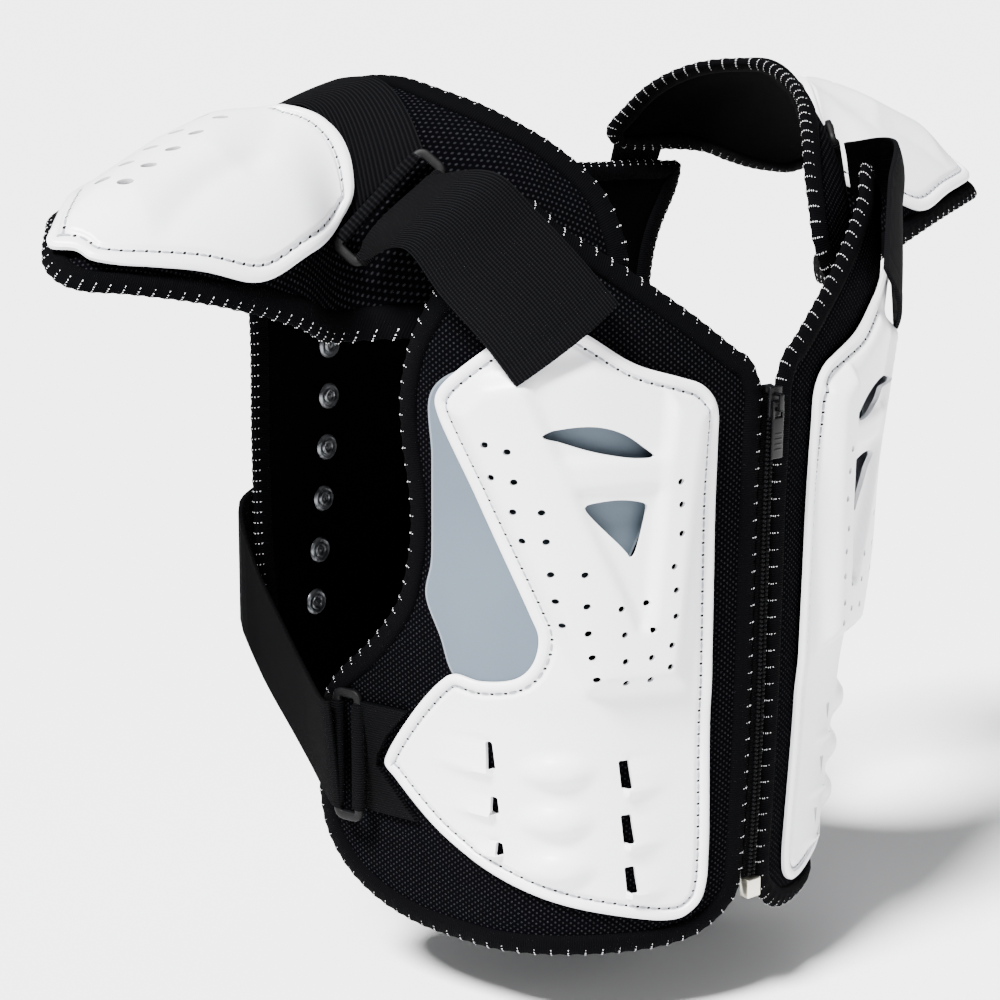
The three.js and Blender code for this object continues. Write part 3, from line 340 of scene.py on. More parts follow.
# %% The front of the body
CHEST_ROWS = [  # drop, reach, keel angle, front turn, front run, side run
    [0.08, 0.82, 4, 16.7, 0.445, 0.336],
    [0.161, 0.92, 4, 16.7, 0.445, 0.336],
    [0.228, 0.995, 5.5, 15.6, 0.418, 0.335],
    [0.296, 1.025, 7, 14.8, 0.395, 0.339],
    [0.376, 1.025, 8.5, 13.6, 0.364, 0.342],
    [0.473, 1.013, 9.5, 13.5, 0.341, 0.345],
    [0.591, 1.007, 10, 14, 0.336, 0.335],
    [0.707, 1, 10.5, 14.7, 0.318, 0.32],
    [0.831, 0.985, 11, 15.4, 0.291, 0.312],
    [0.946, 0.96, 11, 16.1, 0.282, 0.3],
    [1.022, 0.94, 11, 16.7, 0.282, 0.297],
]


def chest(s, z, d=0.0):
    """Points of the front at girth s, height z and depth d, which is positive outwards."""
    s, z, d = np.broadcast_arrays(*(np.asarray(c, float) for c in (s, z, d)))
    reach, keel, turn, front, side = blend(CHEST_ROWS, -z / DROP)
    front, side, start, turn = front * GIRTH, side * GIRTH, np.radians(keel), np.radians(turn)

    def arc(first, rate, length):
        end = first + rate * length
        return (np.sin(end) - np.sin(first)) / rate, (np.cos(first) - np.cos(end)) / rate

    a = np.abs(s)
    x1, y1 = arc(start, turn / front, np.minimum(a, front))
    corner = start + turn / front * np.minimum(a, front)
    rate = (SIDE_HEADING - start - turn) / side
    second = np.clip(a - front, 0, side)
    x2, y2 = arc(corner, rate, second)
    heading = corner + rate * second
    rest = np.maximum(a - front - side, 0)
    x = x1 + x2 + rest * np.cos(heading) + d * np.sin(heading)
    y = y1 + y2 + rest * np.sin(heading) - d * np.cos(heading)
    return np.stack([np.where(s < 0, -x, x), y - reach * CHEST_REACH, z], -1)


# %% The back board
BACK_ROWS = [[0.05, 0.9], [0.125, 0.945], [0.27, 1], [0.51, 1], [0.75, 0.945], [0.95, 0.9]]


def spine(s, z, d=0.0):
    s, z, d = np.broadcast_arrays(*(np.asarray(c, float) for c in (s, z, d)))
    reach, = blend(BACK_ROWS, -z / DROP)
    a = s / BACK_RADIUS
    r = BACK_RADIUS + d
    return np.stack([r * np.sin(a), reach * BACK_REACH - BACK_RADIUS + r * np.cos(a), z], -1)


# %% The shoulder wings
WING_ROWS = [  # out, ridge back and up, front foot forward and down, rear foot back and down
    [0.143, 0.02, 0.11, 0.825, 0.96, 0.915, 0.52],
    [0.204, 0.04, 0.09, 0.78, 0.98, 0.896, 0.52],
    [0.286, 0.065, 0.06, 0.72, 1, 0.887, 0.48],
    [0.358, 0.085, 0.02, 0.625, 1.02, 0.868, 0.47],
    [0.44, 0.15, -0.04, 0.295, 1.05, 0.84, 0.48],
    [0.53, 0.235, -0.135, 0.035, 1.07, 0.774, 0.5],
    [0.639, 0.292, -0.25, 0.14, 0.99, 0.82, 0.58],
    [0.766, 0.33, -0.38, 0.12, 0.88, 0.85, 0.65],
    [0.876, 0.358, -0.49, 0.06, 0.83, 0.83, 0.71],
    [0.967, 0.387, -0.6, 0, 0.8, 0.79, 0.74],
    [1.022, 0.396, -0.67, -0.03, 0.8, 0.755, 0.76],
]


def arches(x):
    """Ridge, front and rear half arches at x, and the lengths of the two halves."""
    ridge_back, ridge_up, fore_y, fore_z, rear_y, rear_z = blend(WING_ROWS, np.abs(x) / SPAN)
    ridge = ridge_back * BACK_REACH, ridge_up * SHOULDER_RISE
    fore = ridge[0] + fore_y * CHEST_REACH, ridge[1] + fore_z * SHOULDER_RISE
    rear = rear_y * BACK_REACH - ridge[0], ridge[1] + rear_z * SHOULDER_RISE
    fore_long, rear_long = (math.pi / 2 * np.sqrt((w * w + h * h) / 2) for w, h in (fore, rear))
    return ridge, fore, rear, fore_long, rear_long


def wing_skin(x, v):
    ridge, fore, rear, fore_long, rear_long = arches(x)
    front = v < 0
    w = np.where(front, fore[0], rear[0])
    h = np.where(front, fore[1], rear[1])
    t = math.pi / 2 * np.abs(v) / np.where(front, fore_long, rear_long)
    return np.stack([x, ridge[0] + np.sign(v) * w * np.sin(t), ridge[1] - h * (1 - np.cos(t))], -1)


def wing(x, v, d=0.0):
    """Points of a wing at distance x from the centre line and length v along its arch."""
    x, v, d = np.broadcast_arrays(*(np.asarray(c, float) for c in (x, v, d)))
    e = 0.5
    across = wing_skin(x + e, v) - wing_skin(x - e, v)
    along = wing_skin(x, v + e) - wing_skin(x, v - e)
    normal = np.cross(across, along)
    normal /= np.linalg.norm(normal, axis=-1, keepdims=True)
    return wing_skin(x, v) + normal * d[..., None]


print("chest at the zip, mid height:", chest(0, -DROP / 2).round(1))

# %% [markdown]
# An outline is a short table of points with a smooth closed curve through them. The curve is sampled
# at even steps, and every sample also gets an inward direction. That direction is taken across a
# stretch about as long as the binding is wide, so that rows of points moved inwards do not cross in
# the corners.

# %% Outlines
def smooth_loop(rows, step):
    """Even samples of the closed centripetal curve through the rows, as an (n, 2) array."""
    p = np.array(rows, float)
    samples = []
    n = len(p)
    for i in range(n):
        a, b, c, e = p[i - 1], p[i], p[(i + 1) % n], p[(i + 2) % n]
        t1, t2, t3 = (max(np.sum((q - r) ** 2) ** 0.25, 1e-4) for q, r in ((a, b), (b, c), (c, e)))
        m = ((b - a) / t1 - (c - a) / (t1 + t2) + (c - b) / t2) * t2
        k = ((c - b) / t2 - (e - b) / (t2 + t3) + (e - c) / t3) * t2
        for t in np.linspace(0, 1, 40, endpoint=False):
            samples.append(b + t * (m + t * (3 * (c - b) - 2 * m - k + t * (2 * (b - c) + m + k))))
    dense = np.array(samples + samples[:1])
    lengths = np.concatenate([[0], np.cumsum(np.linalg.norm(np.diff(dense, axis=0), axis=1))])
    count = max(24, round(lengths[-1] / step))
    at = np.linspace(0, lengths[-1], count, endpoint=False)
    return np.stack([np.interp(at, lengths, dense[:, k]) for k in (0, 1)], -1), lengths[-1]


def inward(points, total, reach=9.0):
    """Unit directions into the outline, smoothed over a stretch of it."""
    k = max(1, round(reach * len(points) / total))
    chord = np.roll(points, -k, 0) - np.roll(points, k, 0)
    area = np.sum(points[:, 0] * np.roll(points[:, 1], -1) - points[:, 1] * np.roll(points[:, 0], -1))
    normal = np.stack([-chord[:, 1], chord[:, 0]], -1) * np.sign(area)
    return normal / np.linalg.norm(normal, axis=1, keepdims=True)


class Outline:
    """A closed outline in the flat, with the distance round it and a way to step inwards from it."""

    def __init__(self, rows, step=1.6, reach=9.0):
        self.points, self.length = smooth_loop(rows, step)
        self.inward = inward(self.points, self.length, reach)
        self.step = self.length / len(self.points)

    def at(self, u, v):
        """Flat points at distance u round the outline and v inwards."""
        n = len(self.points)
        u = np.mod(np.asarray(u, float), self.length) / self.step
        i = np.floor(u).astype(int) % n
        t = (u - np.floor(u))[..., None]
        j = (i + 1) % n
        base = self.points[i] * (1 - t) + self.points[j] * t
        normal = self.inward[i] * (1 - t) + self.inward[j] * t
        return base + normal * np.asarray(v, float)[..., None]

    def nearest(self, flat):
        """Distance of flat points from the outline, and the distance round it of the nearest point."""
        a = self.points
        b = np.roll(a, -1, 0)
        span = b - a
        best = np.full(len(flat), 1e9)
        where = np.zeros(len(flat))
        for k in range(0, len(flat), 4000):
            p = flat[k:k + 4000, None, :]
            t = np.clip(np.sum((p - a) * span, -1) / np.sum(span * span, -1), 0, 1)
            gap = np.linalg.norm(p - a - t[..., None] * span, axis=-1)
            i = np.argmin(gap, 1)
            rows = np.arange(len(i))
            best[k:k + 4000] = gap[rows, i]
            where[k:k + 4000] = (i + t[rows, i]) * self.step
        return best, where


# %% [markdown]
# Now the outlines, as shares of the driving sizes. Tables of a few dozen rows are enough for all the
# flat patterns of the vest.

# %% Pattern outlines
PANEL_EDGE = [
    [0, 0.345], [0.03, 0.308], [0.06, 0.297], [0.15, 0.258], [0.253, 0.216], [0.347, 0.178],
    [0.415, 0.151], [0.46, 0.124], [0.51, 0.118], [0.555, 0.14], [0.66, 0.205], [0.71, 0.243],
    [0.752, 0.285], [0.776, 0.344], [0.772, 0.395], [0.75, 0.464], [0.748, 0.508], [0.758, 0.545],
    [0.776, 0.582], [0.81, 0.613], [0.865, 0.65], [0.935, 0.688], [0.98, 0.724], [1, 0.78],
    [0.998, 0.86], [0.977, 0.906], [0.925, 0.946], [0.847, 0.975], [0.737, 0.994], [0.58, 1],
    [0.356, 0.997], [0.165, 0.994], [0.095, 0.985], [0.04, 0.965], [0.008, 0.942], [0, 0.91],
    [0, 0.88], [0, 0.75], [0, 0.55], [0, 0.4], [0, 0.37],
]
PLATE_EDGE = [
    [0.41, 0.266], [0.316, 0.301], [0.214, 0.321], [0.177, 0.329], [0.15, 0.343], [0.136, 0.361],
    [0.134, 0.395], [0.131, 0.506], [0.124, 0.738], [0.113, 0.88], [0.114, 0.92], [0.125, 0.941],
    [0.157, 0.956], [0.194, 0.958], [0.31, 0.944], [0.441, 0.924], [0.586, 0.891], [0.675, 0.864],
    [0.734, 0.838], [0.785, 0.811], [0.812, 0.796], [0.806, 0.782], [0.733, 0.716], [0.662, 0.671],
    [0.635, 0.661], [0.58, 0.665], [0.514, 0.659], [0.489, 0.648], [0.474, 0.63], [0.471, 0.606],
    [0.487, 0.582], [0.591, 0.452], [0.678, 0.356], [0.683, 0.34], [0.67, 0.324], [0.592, 0.282],
    [0.492, 0.238],
]
BACKING_EDGE = [
    [0.7, 0.338], [0.694, 0.41], [0.691, 0.505], [0.693, 0.534], [0.706, 0.572], [0.672, 0.618],
    [0.636, 0.665], [0.56, 0.668], [0.5, 0.66], [0.44, 0.635], [0.33, 0.55], [0.265, 0.46],
    [0.25, 0.39], [0.3, 0.345], [0.42, 0.315], [0.57, 0.3], [0.66, 0.312],
]
WING_EDGE = [
    [0.325, 0.86], [0.342, 0.7], [0.352, 0.5], [0.365, 0.25], [0.385, 0], [0.375, -0.18],
    [0.33, -0.36], [0.275, -0.51], [0.228, -0.65], [0.213, -0.75], [0.21, -0.85], [0.245, -0.955],
    [0.31, -0.985], [0.4, -0.985], [0.5, -0.985], [0.62, -0.985], [0.74, -0.965], [0.84, -0.93],
    [0.92, -0.87], [0.975, -0.76], [0.998, -0.55], [0.995, -0.3], [0.965, -0.05], [0.925, 0.18],
    [0.885, 0.42], [0.845, 0.7], [0.795, 0.93], [0.72, 0.985], [0.62, 0.985], [0.53, 0.985],
    [0.44, 0.985], [0.38, 0.985], [0.345, 0.95],
]
CAP_EDGE = [
    [0.978, -0.28], [0.958, -0.42], [0.952, -0.55], [0.925, -0.65], [0.882, -0.71], [0.814, -0.77],
    [0.74, -0.83], [0.708, -0.81], [0.647, -0.73], [0.55, -0.64], [0.515, -0.58], [0.506, -0.48],
    [0.509, -0.35], [0.524, -0.22], [0.545, -0.08], [0.562, 0.1], [0.59, 0.3], [0.635, 0.42],
    [0.71, 0.46], [0.785, 0.4], [0.85, 0.26], [0.905, 0.06], [0.95, -0.13],
]
BACK_HALF_EDGE = [
    [0, 0.125], [0.35, 0.128], [0.62, 0.138], [0.9, 0.14], [1.02, 0.142], [1.1, 0.146], [1.1, 0.175],
    [1.03, 0.24], [1, 0.3], [1, 0.45], [1, 0.6], [0.97, 0.72], [0.86, 0.8], [0.7, 0.86], [0.35, 0.895],
]
SHELL_HALF_EDGE = [
    [0, 0.2], [0.45, 0.215], [0.72, 0.26], [0.84, 0.34], [0.86, 0.5], [0.84, 0.66], [0.7, 0.75], [0.4, 0.795],
]


def on_front(rows):
    return [[s * GIRTH, -z * DROP] for s, z in rows]


def on_wing(rows):
    flat = []
    for a, t in rows:
        *_, fore_long, rear_long = arches(np.array(a * SPAN))
        flat.append([a * SPAN, t * float(fore_long if t < 0 else rear_long)])
    return flat


def on_back(half, lowest):
    """A half outline mirrored to a closed one, ending at its lowest point on the centre line."""
    loop = half + [[0, lowest]] + [[-a, b] for a, b in half[:0:-1]]
    return [[a * BACK_HALF, -b * DROP] for a, b in loop]


panel_outline = Outline([[ZIP_GAP + s * (GIRTH - ZIP_GAP), -z * DROP] for s, z in PANEL_EDGE])
plate_outline = Outline(on_front(PLATE_EDGE), 1.2, 5.0)
backing_outline = Outline(on_front(BACKING_EDGE), 1.6, 3.0)
wing_outline = Outline(on_wing(WING_EDGE))
cap_outline = Outline(on_wing(CAP_EDGE), 1.2, 5.0)
back_outline = Outline(on_back(BACK_HALF_EDGE, BACK_DROP / DROP))
shell_outline = Outline(on_back(SHELL_HALF_EDGE, 0.81), 1.6, 6.0)
print("round a front panel:", round(panel_outline.length), "mm,",
      "round a wing:", round(wing_outline.length), "mm")

# %% [markdown]
# From a flat bmesh to a finished piece. `pattern` makes the flat sheet: the outline, rows of faces
# inside it where edges need fine rounding, and one large face that is then cut along a grid, so that
# it can bend. `placed` reads the flat points, keeps them as the piece's UV map in millimetres, and
# moves every point through a form. A right-hand piece is the left-hand one mirrored, with its faces
# turned over.

# %% Flat patterns and placing
def read(bm):
    return np.array([v.co[:] for v in bm.verts], float).reshape(-1, 3)


def write(bm, points):
    for v, p in zip(bm.verts, points):
        v.co = p


def pattern(outline, offsets, grid=None, fill=True):
    """Flat bmesh sheet with rows of faces at the offsets inside an outline, then one gridded face."""
    bm = bmesh.new()
    u = np.arange(len(outline.points)) * outline.step
    first = [bm.verts.new((*p, 0)) for p in outline.at(u, np.full(len(u), offsets[0]))]
    n = len(first)
    edges = [bm.edges.new((first[i], first[(i + 1) % n])) for i in range(n)]
    for offset in offsets[1:]:
        made = bmesh.ops.extrude_edge_only(bm, edges=edges)["geom"]
        edges = [e for e in made if isinstance(e, bmesh.types.BMEdge)]
        edges = [e for e in edges if all(len(v.link_faces) < 3 for v in e.verts) and len(e.link_faces) == 1]
        bm.verts.ensure_lookup_table()
        ring = bm.verts[-n:]
        for v, p in zip(ring, outline.at(u, np.full(n, offset))):
            v.co = (*p, 0)
    if fill:
        last = bm.verts[-n:]
        bm.faces.new(last)
    if grid:
        cut_grid(bm, grid)
    bm.normal_update()
    bmesh.ops.reverse_faces(bm, faces=[f for f in bm.faces if f.normal.z < 0])
    return bm


def cut_grid(bm, grid, only_large=True):
    """Cuts the large faces of a flat bmesh along a grid of lines."""
    for axis in (0, 1):
        large = [f for f in bm.faces
                 if not only_large or f.calc_area() > 1.5 * grid * grid or len(f.verts) > 4]
        if not large:
            return
        values = [v.co[axis] for f in large for v in f.verts]
        normal = (1, 0, 0) if axis == 0 else (0, 1, 0)
        for k in range(math.ceil(min(values) / grid), math.floor(max(values) / grid) + 1):
            plane = (k * grid * normal[0], k * grid * normal[1], 0)
            near = [f for f in bm.faces
                    if not only_large or f.calc_area() > 1.5 * grid * grid or len(f.verts) > 4]
            touched = [f for f in near
                       if min(v.co[axis] for v in f.verts) < k * grid < max(v.co[axis] for v in f.verts)]
            geom = list({g for f in touched for g in (f, *f.edges, *f.verts)})
            bmesh.ops.bisect_plane(bm, geom=geom, dist=1e-4, plane_co=plane, plane_no=normal)


def slab(bm, thick):
    """Gives a flat sheet its thickness, from 0 up."""
    bmesh.ops.solidify(bm, geom=bm.faces[:], thickness=-thick)
    low = min(v.co.z for v in bm.verts)
    bmesh.ops.translate(bm, verts=bm.verts, vec=(0, 0, -low))
    bmesh.ops.recalc_face_normals(bm, faces=bm.faces)


def sheet_of(points):
    """A flat bmesh with one face through the points, looking up."""
    bm = bmesh.new()
    bm.faces.new([bm.verts.new((*p, 0)) for p in points])
    bm.normal_update()
    bmesh.ops.reverse_faces(bm, faces=[f for f in bm.faces if f.normal.z < 0])
    return bm


def joined(parts):
    """One bmesh from several, which are used up."""
    whole = bmesh.new()
    for part in parts:
        mesh = bpy.data.meshes.new("part")
        part.to_mesh(mesh)
        part.free()
        whole.from_mesh(mesh)
        bpy.data.meshes.remove(mesh)
    return whole


def pierced(bm, holes, low, high):
    """Cuts prisms over closed outlines out of a flat slab."""
    cutter = joined([sheet_of(points) for points in holes])
    slab(cutter, high - low)
    bmesh.ops.translate(cutter, verts=cutter.verts, vec=(0, 0, low))
    pair = []
    for name, made in (("slab", bm), ("cutter", cutter)):
        mesh = bpy.data.meshes.new(name)
        made.to_mesh(mesh)
        made.free()
        pair.append(bpy.data.objects.new(name, mesh))
        bpy.context.scene.collection.objects.link(pair[-1])
    cut = pair[0].modifiers.new("cut", "BOOLEAN")
    cut.operation, cut.solver, cut.object = "DIFFERENCE", "EXACT", pair[1]
    result = bmesh.new()
    result.from_object(pair[0], bpy.context.evaluated_depsgraph_get())
    for temporary in pair:
        bpy.data.meshes.remove(temporary.data)
    return result


def placed(bm, form):
    """Keeps the flat places as the UV map, in metres, and moves every point through a form in mm."""
    flat = read(bm)
    layer = bm.loops.layers.uv.new("flat")
    for face in bm.faces:
        for loop in face.loops:
            loop[layer].uv = loop.vert.co.xy * MM
    write(bm, form(flat[:, 0], flat[:, 1], flat[:, 2]) * MM)
    bmesh.ops.recalc_face_normals(bm, faces=bm.faces)
    return bm


def add_piece(bm, name, nodes, slot, materials, body="vest", angle=40):
    """A finished bmesh as an object that stands for some nodes of the frame."""
    mesh = bpy.data.meshes.new(name)
    bm.to_mesh(mesh)
    bm.free()
    piece = bpy.data.objects.new(name, mesh)
    bpy.context.scene.collection.objects.link(piece)
    for material in materials:
        mesh.materials.append(material)
    mesh.shade_smooth()
    if angle:
        mesh.set_sharp_from_angle(angle=math.radians(angle))
    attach(piece, body)
    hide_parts(*nodes)
    return piece


def add_pair(bm, name, node, slot, materials, **settings):
    """The left piece and its mirror image on the right. Without a node, they stand for none."""
    other = bm.copy()
    bmesh.ops.transform(other, matrix=Matrix.Scale(-1, 4, (1, 0, 0)), verts=other.verts)
    bmesh.ops.reverse_faces(other, faces=other.faces)
    return [
        add_piece(made, f"{name}_{side}", [f"{node}_{side}"] if node else [], slot, materials, **settings)
        for side, made in (("left", bm), ("right", other))
    ]


def smooth(x):
    x = np.clip(x, 0, 1)
    return x * x * (3 - 2 * x)


def lerp(a, b, t):
    return a + (b - a) * t


# %% [markdown]
# The panels are 4 mm of foam between an air mesh and a lining, stitched along the edge and trimmed.
# The edge runs on under the binding, which pulls the cloth down, so the face sinks over the last
# few millimetres. Their swelling is slight, so a formula makes it and nothing is simulated.

# %% Panels
def panel(outline, form, step=3.0):
    bm = pattern(outline, [5, 7, 8.4, 9.6, 11.5, 14], step)
    slab(bm, PAD)
    for face in bm.faces:
        face.material_index = 0 if face.calc_center_median().z > PAD - 0.5 else 1
    edge, _ = outline.nearest(read(bm)[:, :2])

    def cushioned(a, b, d):
        sink = 0.8 * np.exp(-np.maximum(edge - BINDING, 0) / 3)
        wave = 0.3 * np.sin(a / 17 + 1.3 * np.sin(b / 23)) * smooth((edge - 9) / 20)
        return form(a, b, d - PAD + np.where(d > PAD / 2, wave - sink, sink))

    return placed(bm, cushioned)


cloths = [air_mesh, lining]
panels = [
    *add_pair(panel(panel_outline, chest), "padded_front", "front_panel", "mesh_cloth", cloths),
    *add_pair(panel(wing_outline, wing), "padded_wing", "shoulder_wing", "mesh_cloth", cloths),
    add_piece(panel(back_outline, spine, 4.0), "padded_back", ["back_panel"], "mesh_cloth", cloths),
]
print(len(panels), "panels,", sum(len(made.data.polygons) for made in panels), "faces")

# %% [markdown]
# A binding is a strip of tape folded over the raw edge of a panel and whipped round with white
# thread. The thread pulls the edge in at every turn, so the tape swells a little in between. Both
# tape and thread start as a grid with one direction along the edge. The other direction goes round
# the rolled section, and a final merge closes the seam.

# %% Bindings
def tube(count, sides):
    """A closed tube as a grid to roll up: x runs along it and y round it, both from 0 to 1."""
    bm = bmesh.new()
    bmesh.ops.create_grid(bm, x_segments=count, y_segments=sides, size=0.5,
                          matrix=Matrix.Translation((0.5, 0.5, 0)))
    return bm


def closed_tube(bm):
    bmesh.ops.remove_doubles(bm, verts=bm.verts, dist=1e-7)
    bmesh.ops.recalc_face_normals(bm, faces=bm.faces)
    return bm


def tape_section(turn):
    """Distance from the edge and depth at an angle round the tape, 0 at the very edge."""
    c, s = np.cos(turn), np.sin(turn)
    v = BINDING / 2 * (1 - np.sign(c) * np.abs(c) ** 0.75)
    half = PAD / 2 + LIP * smooth(v / (0.7 * BINDING))
    return v, -PAD / 2 + np.sign(s) * np.abs(s) ** 0.7 * half


def binding(outline, form, pitch, step=1.6, sides=18):
    bm = tube(round(outline.length / step), sides)
    grid = read(bm)
    u, turn = grid[:, 0] * outline.length, grid[:, 1] * 2 * math.pi
    v, d = tape_section(turn)
    stitches = round(outline.length / pitch)
    swell = 0.22 * np.cos(2 * math.pi * stitches * grid[:, 0] + math.pi) * (1 - smooth((v - 4) / 3))
    v = v - swell * np.cos(turn)
    d = d + swell * np.sin(turn)
    layer = bm.loops.layers.uv.new("flat")
    wrap = {vert: (a * MM, b * 2.4 * BINDING * MM) for vert, a, b in zip(bm.verts, u, grid[:, 1])}
    for face in bm.faces:
        for loop in face.loops:
            loop[layer].uv = wrap[loop.vert]
    flat = outline.at(u, v)
    write(bm, form(flat[:, 0], flat[:, 1], d) * MM)
    return closed_tube(bm)


# %% Whip stitches
def whip(outline, form, pitch, radius, beads, reach=(90, -90)):
    """Turns of thread over the edge, each drawn tight in a few places so that it shows as dots."""
    count = round(outline.length / pitch)
    bm = bmesh.new()
    for k in range(count):
        bmesh.ops.create_grid(bm, x_segments=22, y_segments=5, size=0.5, matrix=Matrix.Translation(
            (k + 0.45, 0.5, 0)) @ Matrix.Diagonal((0.9, 1, 1, 1)))
    grid = read(bm)
    k = np.floor(grid[:, 0] + 1e-6)
    t = np.clip((grid[:, 0] - k) / 0.9, 0, 1)
    turn = np.radians(lerp(reach[0], reach[1], t))
    v, d = tape_section(turn)
    ahead, behind = tape_section(turn + 0.02), tape_section(turn - 0.02)
    out = np.stack([ahead[1] - behind[1], behind[0] - ahead[0]], -1)
    out /= np.linalg.norm(out, axis=1, keepdims=True)
    out *= np.where(out[:, 0] * (v - BINDING / 2) + out[:, 1] * (d + PAD / 2) < 0, -1, 1)[:, None]
    taper = smooth(np.minimum(t, 1 - t) / 0.05)
    bead = 0.5 + 0.5 * np.cos(2 * math.pi * beads * t)
    thick = radius * (0.7 + 0.3 * bead) * taper
    lift = -0.5 + 0.5 * bead * taper
    round_it = grid[:, 1] * 2 * math.pi
    u = (k + 0.5) * outline.length / count + thick * np.cos(round_it) + 0.5 * (t - 0.5)
    off = lift + thick * np.sin(round_it)
    flat = outline.at(u, v + out[:, 0] * off)
    write(bm, form(flat[:, 0], flat[:, 1], d + out[:, 1] * off) * MM)
    return closed_tube(bm)


EDGES = [  # outline, form, name, frame node, stitch pitch, thread radius, dots over the edge
    (panel_outline, chest, "front", "front_binding", 7.4, 0.46, 9),
    (wing_outline, wing, "wing", "wing_binding", 6.6, 0.46, 9),
]
for outline, form, name, node, pitch, radius, beads in EDGES:
    add_pair(binding(outline, form, pitch), f"bound_{name}", node, "binding_tape", [tape_black])
    add_pair(whip(outline, form, pitch, radius, beads), f"whipped_{name}", None, "binding_tape",
             [thread_white], angle=None)
add_piece(binding(back_outline, spine, 4.7, 1.2), "bound_back", ["back_binding"], "binding_tape",
          [tape_black])
add_piece(whip(back_outline, spine, 4.7, 0.36, 6), "whipped_back", [], "binding_tape", [thread_white],
          angle=None)
print("stitches round a front panel:", round(panel_outline.length / EDGES[0][4]))

# %% [markdown]
# A chest plate is vacuum formed from 2.2 mm sheet: a flange that carries the stitches, a raised
# dome with a recess between two arms, padded ovals and scoops beside the slots. The heights are
# fields over the flat pattern, added up before the plate is bent. The holes are cut while the plate
# is flat, by a boolean with prisms, because there they are plain outlines.

# %% Relief of a chest plate
DOME_HEIGHT = 8.5
VEE_DEPTH = 4
BULGE_HEIGHT = 4.4
RIB_HEIGHT = 3.2
DOME_FIELD = [[0.165, 0.36], [0.4, 0.29], [0.6, 0.315], [0.645, 0.35], [0.375, 0.668], [0.2, 0.668]]
VEE_FIELD = [[0.235, 0.25], [0.56, 0.27], [0.3, 0.6], [0.27, 0.6]]
BAR_DROP = 0.42
BAR_HALF = 0.016
BULGES = [[0.425, 0.768], [0.422, 0.829], [0.413, 0.887]]
BULGE_HALF = [0.083, 0.027]
SLOTS = [  # girth, drop of the top and of the bottom, reach of the scoop beside it
    [0.553, 0.737, 0.771, 0.16], [0.54, 0.805, 0.826, 0.12], [0.526, 0.861, 0.876, 0.08],
    [0.298, 0.756, 0.79, -0.1], [0.287, 0.822, 0.857, -0.1], [0.274, 0.886, 0.918, -0.1],
]
SLOT_WIDTHS = [3.2, 3.2, 3.2, 4.6, 4.6, 4.6]
SLOT_LEAN = 0.16


def within(field, a, b):
    """Distance inside a convex field given by its corners in mm, negative outside."""
    corners = np.array(field, float)
    after = np.roll(corners, -1, 0)
    turn = np.sign(np.sum(corners[:, 0] * after[:, 1] - corners[:, 1] * after[:, 0]))
    depth = np.full(np.shape(a), 1e9)
    for p, q in zip(corners, after):
        side = (q - p) / np.linalg.norm(q - p)
        depth = np.minimum(depth, turn * (side[0] * (b - p[1]) - side[1] * (a - p[0])))
    return depth


def scoops(s, z):
    """A crease runs out from the top of each slot and a tapered ridge from its bottom."""
    low = np.zeros(np.shape(s))
    for a, top, bottom, reach in SLOTS:
        along = (s / GIRTH - a) / reach
        fade = smooth(1 - along) * (along > 0)
        tall = (bottom - top) * DROP
        down = -z - top * DROP
        ridge = RIB_HEIGHT * np.exp(-((down - tall * (1.08 - 0.1 * along)) / (0.16 * tall + 1.2)) ** 2)
        ramp_up = 0.6 * RIB_HEIGHT * smooth(down / tall) * (down < 1.1 * tall) * (down > 0)
        crease = -0.9 * np.exp(-((down + 0.6) / 0.9) ** 2)
        low = low + fade * (np.maximum(ridge, ramp_up) + crease)
    return low


def relief(s, z):
    dome = DOME_HEIGHT * smooth((within(on_front(DOME_FIELD), s, z) + 5) / 12)
    bar = 0.6 * smooth(1.6 - np.abs(-z / DROP - BAR_DROP) / BAR_HALF)
    arms = smooth((within(on_front(VEE_FIELD), s, z) + 1) / 5)
    vee = VEE_DEPTH * dome / DOME_HEIGHT * arms * (1 - bar)
    ovals = np.zeros(np.shape(s))
    for a, b in BULGES:
        r = np.hypot((s / GIRTH - a) / BULGE_HALF[0], (-z / DROP - b) / BULGE_HALF[1])
        ovals = np.maximum(ovals, BULGE_HEIGHT * smooth(1.25 * (1 - r)))
    return dome - vee + ovals + scoops(s, z)


def plate_lift(z):
    """Clearance under the plate: it lies on the panel below and on the vent backing above."""
    return SEAT + (GAP + BACKING) * smooth((z / DROP + 0.72) / 0.05)


def rim(edge):
    """Height of a plate's rolled rim and stitched groove at a distance from its edge."""
    rolled = 0.45 * np.exp(-((edge - 2.2) / 1.5) ** 2)
    groove = 0.9 * smooth((edge - 3.7) / 0.9) * (1 - smooth((edge - 6.2) / 1.2))
    return rolled - groove - 0.8 * (1 - smooth(edge / 1.1))


# %% Holes of the plates
VENTS = [
    [0.572, 0.384], [0.535, 0.391], [0.558, 0.421], [0.52, 0.425], [0.518, 0.459], [0.472, 0.459],
    [0.501, 0.492], [0.462, 0.492], [0.453, 0.529], [0.398, 0.53], [0.444, 0.56], [0.393, 0.566],
    [0.335, 0.571], [0.281, 0.569], [0.23, 0.432], [0.225, 0.458], [0.222, 0.491], [0.235, 0.528],
    [0.229, 0.555], [0.228, 0.585], [0.234, 0.618], [0.235, 0.643], [0.431, 0.589], [0.389, 0.597],
    [0.327, 0.601], [0.271, 0.599], [0.38, 0.625], [0.323, 0.632], [0.273, 0.63], [0.369, 0.652],
    [0.318, 0.658], [0.272, 0.656],
]
VENT_BORE = 2.9
LENS = [
    [0.483, 0.373], [0.44, 0.366], [0.39, 0.366], [0.34, 0.376], [0.3, 0.392], [0.279, 0.403],
    [0.31, 0.404], [0.37, 0.398], [0.43, 0.387],
]
